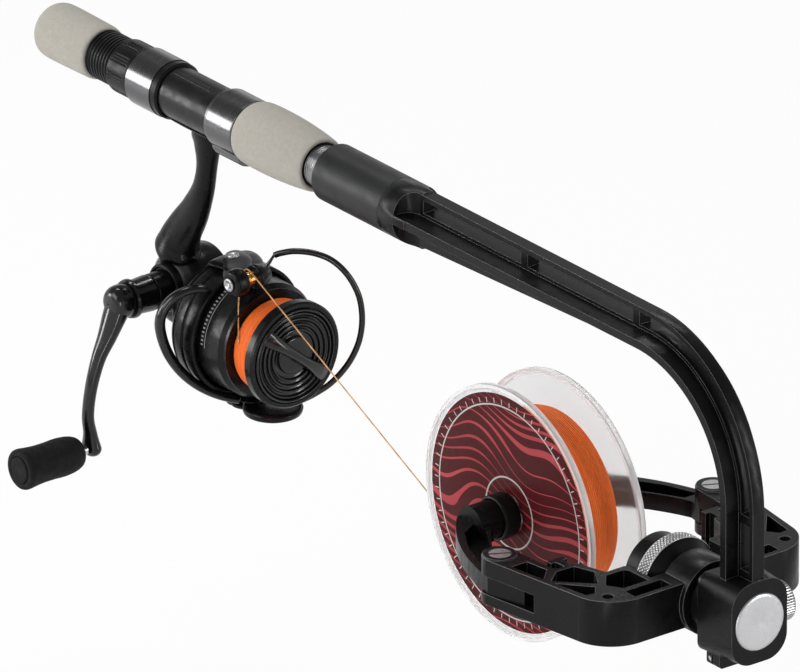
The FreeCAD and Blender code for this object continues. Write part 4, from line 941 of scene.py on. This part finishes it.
def bail_arm():
    """A barrel beside the roller, a tip on its far side and a plate back to the pivot's screw."""
    bail = {"body": "bail", "node": "bail_arm"}
    turned("bail_arm_barrel", "reel", 1, ROLLER, eased([
        (-21, 2), (-21, 5.2), (-20, 6.2), (-16.5, 6.6), (-14.2, 6.1), (-13.6, 5), (-13.6, 2)],
        0.8), 64, **bail)
    turned("bail_arm_tip", "reel", 1, ROLLER, eased([
        (-21.2, 0), (-21.2, 1.9), (-7.8, 1.9), (-7.8, 5.5), (-6.8, 6), (-4, 5.2), (0.2, 3),
        (1, 0)], 0.4, 3), 64, **bail)
    swept("bail_arm_plate", "reel", lifted([
        (113, 0, 33.8, 1.7, 4.6), (118, -3, 34.2, 2, 6.4), (125, -8.5, 34.2, 2.2, 6.2),
        (130.5, -13.8, 34, 2.7, 5.6), (134.5, -16.8, 33.4, 3.2, 4.6)]), UP, 32, 8, **bail)
    turned("bail_pivot_screw", "screw", 2, (117.2, -4.5, REEL_Z), eased([
        (35.5, 0), (35.5, 2.6), (36.6, 2.6), (36.9, 2.1), (36.6, 1.2), (36.4, 0)], 0.2, 2), 32,
        **bail)


def bail_wire():
    """A round wire on a slanted plane: distances from the pivots' line and heights above it."""
    heading = math.radians(40)
    c, s = math.cos(heading), math.sin(heading)
    outline = spline([
        (13.5, 36.8), (16.5, 38.2), (23, 39.8), (31.8, 39.6), (40, 36.8), (47, 30.4),
        (51.9, 21.2), (53.5, 11.2), (52.7, 1.5), (50, -7), (45.6, -15), (39.2, -22.8),
        (32.2, -28.4), (26.4, -32), (22.2, -33.7), (19, -34)], 8)
    start = [(134, -3.5, 32.8, 3, 4), (132.5, 2.2, 34.4, 2.4, 2.6)]
    rows = lifted(start + [(119 + distance * c, distance * s, height, 1.4, 1.4)
                           for distance, height in outline])
    swept("bail_wire_bar", "gloss", rows, (s, -c, 0), 20, 2, body="bail", node="bail_wire")


def roller_screw():
    """A screw head with a six-sided socket, cut by moving the inner points of its face."""
    def socket(turn, along, radius):
        flat = 1.5 / np.cos((turn + np.pi / 6) % (np.pi / 3) - np.pi / 6)
        return np.where((radius > 1) & (radius < 1.7), flat - radius, 0)

    turned("roller_screw_head", "screw", 1, ROLLER, [
        (-21.1, 0), (-21.1, 2.9), (-21.4, 3.1), (-22, 3.1), (-22.3, 2.8), (-22.3, 1.6),
        (-21.6, 1.5), (-21.5, 0)], 72, socket, body="bail", node="roller_screw")


def drag_knob():
    """A dished disc of concentric ribs, and a bar across it that is waisted and arched."""
    drag = {"body": "drag", "node": "drag_knob"}
    ribs = []
    for radius, base in ((19.7, 154.9), (17.1, 154.7), (14.5, 154.5), (11.9, 154.3)):
        ribs += [(base, radius + 0.8), (base + 1.3, radius + 0.4), (base + 1.4, radius - 0.3),
                 (base + 0.2, radius - 0.8)]
    turned("drag_knob_disc", "gloss", 0, REEL, eased([
        (152.2, 2.55), (152.2, 13.6), (154.3, 13.6), (154.3, 21.4), (154.9, 22), (156.4, 22),
        (156.9, 21.5), (156.7, 21), *ribs, (154.1, 9), (155.6, 8.6), (156, 8), (156.2, 0),
        (153.3, 0), (153.3, 2.55)], 0.2, 2), 128, **drag)
    c, s = math.cos(math.radians(51)), math.sin(math.radians(51))
    half = [(20.2, 156.2, 3.6, 1.3), (16, 156.8, 3.4, 2.2), (9, 157.7, 2.6, 2.7)]
    stations = ([(-r, *rest) for r, *rest in half] + [(0, 158, 2.3, 3)] + half[::-1])
    swept("drag_knob_bar", "gloss", [(x, -s * r, REEL_Z + c * r, wide, high)
                                     for r, x, wide, high in stations], (0, c, s), 32, 6, **drag)


def reel_winding(pitch):
    crown = [(0.13805, 0.0208), (0.1400, 0.0216), (0.1495, 0.0216), (0.15145, 0.0208)]
    winding("reel_winding", "reel wound", 0, REEL, 0.13807, 0.15143, 0.01705, crown, pitch,
            0.0002, body="reel_spool", node="reel_line")


# ---------------------------------------------------------------- stage

def make_floor(scene):
    level = CAD_BOX[0][2] - 0.09
    radius = np.array([0.0, 0.4, 1.5, 4.0, 9.0])
    angle = np.arange(64) / 64 * 2 * np.pi
    points = np.stack([radius[None, :] * np.cos(angle)[:, None] + 0.24,
                       radius[None, :] * np.sin(angle)[:, None],
                       np.full((64, 5), level)], axis=-1)
    finish = Finish("studio floor", (0.93, 0.93, 0.93), 0.9)
    finish.colour(finish.mix(finish.noise(0.3, 2), (0.92, 0.92, 0.92), (0.94, 0.94, 0.94)))
    fade = finish.spread(finish.distance(2, (240, 0, 0)), 0.6, 3.0, 0.9, 1.0)
    seen = finish.times(finish.add("LightPath").outputs["Is Camera Ray"], fade)
    white = finish.add("Emission", Strength=1.0)
    both = finish.add("MixShader", i0=seen, i1=finish.shader.outputs[0], i2=white.outputs[0])
    finish.links.new(both.outputs[0], finish.nodes["Material Output"].inputs["Surface"])
    floor = bpy.data.objects.new("floor", bpy.data.meshes.new("floor"))
    index = np.arange(64 * 5).reshape(64, 5)
    turn = np.roll(index, -1, axis=0)
    quads = np.stack([index[:, :-1], index[:, 1:], turn[:, 1:], turn[:, :-1]], axis=-1)
    floor.data.from_pydata(points.reshape(-1, 3).tolist(), [], quads.reshape(-1, 4).tolist())
    floor.data.materials.append(finish.material)
    scene.collection.objects.link(floor)


def make_world(scene):
    """White to the camera, reflections and clear plastic, and softer as a light.

    Reflections find it darker overhead, as under the ceiling of a studio.
    """
    world = bpy.data.worlds.new("studio")
    world.use_nodes = True
    scene.world = world
    graph = Graph(world.node_tree)
    ray = graph.add("LightPath").outputs
    place = graph.add("TexCoord").outputs["Generated"]
    upwards = graph.add("SeparateXYZ", Vector=place).outputs[2]
    ceiling = graph.add("MapRange", Value=upwards, From_Min=0.12, From_Max=0.5, To_Min=0.6,
                        To_Max=-0.15).outputs[0]
    light = 0.4
    seen = graph.math("MAXIMUM", ray["Is Camera Ray"], ray["Is Transmission Ray"])
    strength = graph.plus(graph.times(seen, 1 - light),
                          graph.times(ray["Is Glossy Ray"], ceiling))
    ground = graph.nodes["Background"]
    ground.inputs["Color"].default_value = (1, 1, 1, 1)
    graph.links.new(graph.plus(strength, light), ground.inputs["Strength"])


def make_lamps(scene):
    middle = Vector((0.24, 0, -0.06))
    for name, offset, width, height, power in (
            ("key strip", (-1.12, -0.88, 0.19), 0.25, 0.5, 5),
            ("wide softbox", (-0.5, -1.4, 0.9), 1.2, 0.9, 12),
            ("top strip", (-0.6, 0.35, 1.1), 0.9, 0.14, 5),
            ("front strip", (0.9, -1.1, -0.05), 0.1, 0.8, 3),
            ("right strip", (1.1, 0.6, 0.25), 0.14, 0.8, 4)):
        data = bpy.data.lights.new(name, "AREA")
        data.shape = "RECTANGLE"
        data.size, data.size_y, data.energy = width, height, power
        item = bpy.data.objects.new(name, data)
        scene.collection.objects.link(item)
        item.location = middle + Vector(offset)
        item.rotation_mode = "QUATERNION"
        item.rotation_quaternion = (-Vector(offset)).to_track_quat("-Z", "Y")


# ---------------------------------------------------------------- operators

class WinderStep:
    """What every build step shares."""
    bl_options = {"REGISTER", "UNDO"}

    def execute(self, context):
        self.build(context.scene)
        return {"FINISHED"}


class WINDER_OT_camera(WinderStep, bpy.types.Operator):
    """Sets the camera at the viewing angle"""
    bl_idname = "winder.camera"
    bl_label = "Camera"

    def build(self, scene):
        view = scene.winder_camera
        a, e = view.azimuth, view.elevation
        back = Vector((math.sin(a) * math.cos(e), -math.cos(a) * math.cos(e), math.sin(e)))
        data = bpy.data.cameras.new("winder camera")
        data.lens, data.sensor_width = view.lens, 36
        data.clip_start, data.clip_end = 0.1, 40
        camera = bpy.data.objects.new("winder camera", data)
        scene.collection.objects.link(camera)
        camera.location = Vector(view.target) + back * view.distance
        camera.rotation_mode = "QUATERNION"
        camera.rotation_quaternion = (-back).to_track_quat("-Z", "Y")
        scene.camera = camera


class WINDER_OT_running_line(WinderStep, bpy.types.Operator):
    """Lays the taut line from the filler spool, round the roller, to the reel"""
    bl_idname = "winder.running_line"
    bl_label = "Running line"

    def build(self, scene):
        line = scene.winder_line
        filler = Vector((0.3084, -0.0076, -0.1485))
        corner = Vector((0.1267, -0.0104, -0.0566))
        reel = Vector((0.142, -0.0208, -0.0918))
        near_roller = corner + (filler - corner).normalized() * 0.024
        route = [filler, near_roller, corner, reel]
        data = bpy.data.curves.new("running_line_cord", "CURVE")
        data.dimensions = "3D"
        path = data.splines.new("NURBS")
        path.points.add(len(route) - 1)
        for point, place in zip(path.points, route):
            point.co = (*place, 1)
        path.order_u = 3
        path.use_endpoint_u = True
        path.resolution_u = 24
        data.bevel_depth = line.diameter / 2
        data.bevel_resolution = 4
        data.use_fill_caps = True
        data.materials.append(material("braid"))
        cord = bpy.data.objects.new("running_line_cord", data)
        scene.collection.objects.link(cord)
        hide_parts("running_line")
        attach(cord, "frame")


class WINDER_OT_handle(WinderStep, bpy.types.Operator):
    """Finishes the grips, the reel seat and its hoods"""
    bl_idname = "winder.handle"
    bl_label = "Rod handle"

    def build(self, scene):
        for make in (butt_grip, fore_grip, seat_thread, fixed_hood, lock_nut, ferrule):
            make()
        dress_each(rod_core="graphite", reel_seat="seat", hood_ring="gunmetal",
                   hood_lip="ring plastic", arm_sleeve="sleeve")


class WINDER_OT_arm(WinderStep, bpy.types.Operator):
    """Finishes the arm and what is fitted in its hub"""
    bl_idname = "winder.arm"
    bl_label = "Arm and hub"

    def build(self, scene):
        dress("arm", "plastic", bevel=0.55, edge="edge")
        dress_each(swivel_axle="steel x", swivel_washer="plastic", lug_screw="steel")
        hub_cap()
        thumb_screw()


class WINDER_OT_yoke(WinderStep, bpy.types.Operator):
    """Finishes the yoke, its pivots, the levers and their cones"""
    bl_idname = "winder.yoke"
    bl_label = "Yoke and levers"

    def build(self, scene):
        dress("yoke", "plastic", bevel=0.45, edge="edge")
        dress_each(yoke_bushes="steel x", pivot_screws="slotted screw", pivot_nuts="screw",
                   lever_springs="spring", cone_pin_front="steel", cone_pin_rear="steel")
        for side, sign in (("front", -1), ("rear", 1)):
            dress("lever_" + side, "plastic", bevel=0.4, edge="edge")
            cone(side, sign)


class WINDER_OT_lock_knob(WinderStep, bpy.types.Operator):
    """Makes the lock knob and its diamond-knurled band"""
    bl_idname = "winder.lock_knob"
    bl_label = "Lock knob"

    def build(self, scene):
        dress("lock_knob", "plastic")
        knob_band()


class WINDER_OT_filler_spool(WinderStep, bpy.types.Operator):
    """Makes the full filler spool: clear flanges, printed label and wound line"""
    bl_idname = "winder.filler_spool"
    bl_label = "Filler spool"

    def build(self, scene):
        dress("filler_spool", "clear")
        spool_label()
        filler_winding(scene.winder_line.strand)


class WINDER_OT_reel_housing(WinderStep, bpy.types.Operator):
    """Finishes the reel's housing and gear train"""
    bl_idname = "winder.reel_housing"
    bl_label = "Reel housing"

    def build(self, scene):
        dress("side_cover", "reel", bevel=0.3)
        dress_each(cover_screws="screw", crank_bearing="steel x", pinion_bearing="steel x",
                   drive_gear="brass", pinion_gear="brass", crank_shaft="steel",
                   main_shaft="shaft steel", oscillation_slider="shaft steel",
                   rotor_nut="shaft steel")
        reel_casting()


class WINDER_OT_crank(WinderStep, bpy.types.Operator):
    """Finishes the crank and its knob"""
    bl_idname = "winder.crank"
    bl_label = "Crank"

    def build(self, scene):
        dress_each(crank_sleeve="gloss", knob_axle="steel")
        crank_arm()
        crank_knob()


class WINDER_OT_rotor(WinderStep, bpy.types.Operator):
    """Finishes the rotor, the bail and its roller"""
    bl_idname = "winder.rotor"
    bl_label = "Rotor and bail"

    def build(self, scene):
        dress("line_roller", "gold")
        for make in (rotor_cup, rotor_guard, bail_lever, bail_arm, bail_wire, roller_screw):
            make()


class WINDER_OT_reel_spool(WinderStep, bpy.types.Operator):
    """Makes the reel's spool with its winding and drag knob"""
    bl_idname = "winder.reel_spool"
    bl_label = "Reel spool"

    def build(self, scene):
        dress_each(reel_spool="reel spool", drag_washers="rubber")
        drag_knob()
        reel_winding(scene.winder_line.strand)


class WINDER_OT_stage(WinderStep, bpy.types.Operator):
    """Sets the pale floor, the white surroundings and the lamps"""
    bl_idname = "winder.stage"
    bl_label = "Stage"

    def build(self, scene):
        make_floor(scene)
        make_world(scene)
        make_lamps(scene)
        scene.view_settings.view_transform = "Standard"


STEPS = (
    WINDER_OT_camera, WINDER_OT_running_line, WINDER_OT_handle, WINDER_OT_arm, WINDER_OT_yoke,
    WINDER_OT_lock_knob, WINDER_OT_filler_spool, WINDER_OT_reel_housing, WINDER_OT_crank,
    WINDER_OT_rotor, WINDER_OT_reel_spool, WINDER_OT_stage)


class WINDER_PT_panel(bpy.types.Panel):
    """Lists the build steps and the settings"""
    bl_label = "Line winder"
    bl_idname = "WINDER_PT_panel"
    bl_space_type = "VIEW_3D"
    bl_region_type = "UI"
    bl_category = "Line winder"

    def draw(self, context):
        for group in (context.scene.winder_camera, context.scene.winder_line,
                      context.scene.winder_finish):
            box = self.layout.box()
            for key in group.bl_rna.properties.keys():
                if key not in ("rna_type", "name"):
                    box.prop(group, key)
        for step in STEPS:
            self.layout.operator(step.bl_idname)


GROUPS = {"winder_camera": LineWinderCamera, "winder_line": LineWinderLine,
          "winder_finish": LineWinderFinish}


def register():
    for name, group in GROUPS.items():
        bpy.utils.register_class(group)
        setattr(bpy.types.Scene, name, bpy.props.PointerProperty(type=group))
    for item in (*STEPS, WINDER_PT_panel):
        bpy.utils.register_class(item)


def unregister():
    for item in (WINDER_PT_panel, *reversed(STEPS)):
        bpy.utils.unregister_class(item)
    for name, group in GROUPS.items():
        delattr(bpy.types.Scene, name)
        bpy.utils.unregister_class(group)


def main():
    register()
    for step in STEPS:
        space, name = step.bl_idname.split(".")
        getattr(getattr(bpy.ops, space), name)()


if __name__ == "__main__":
    main()
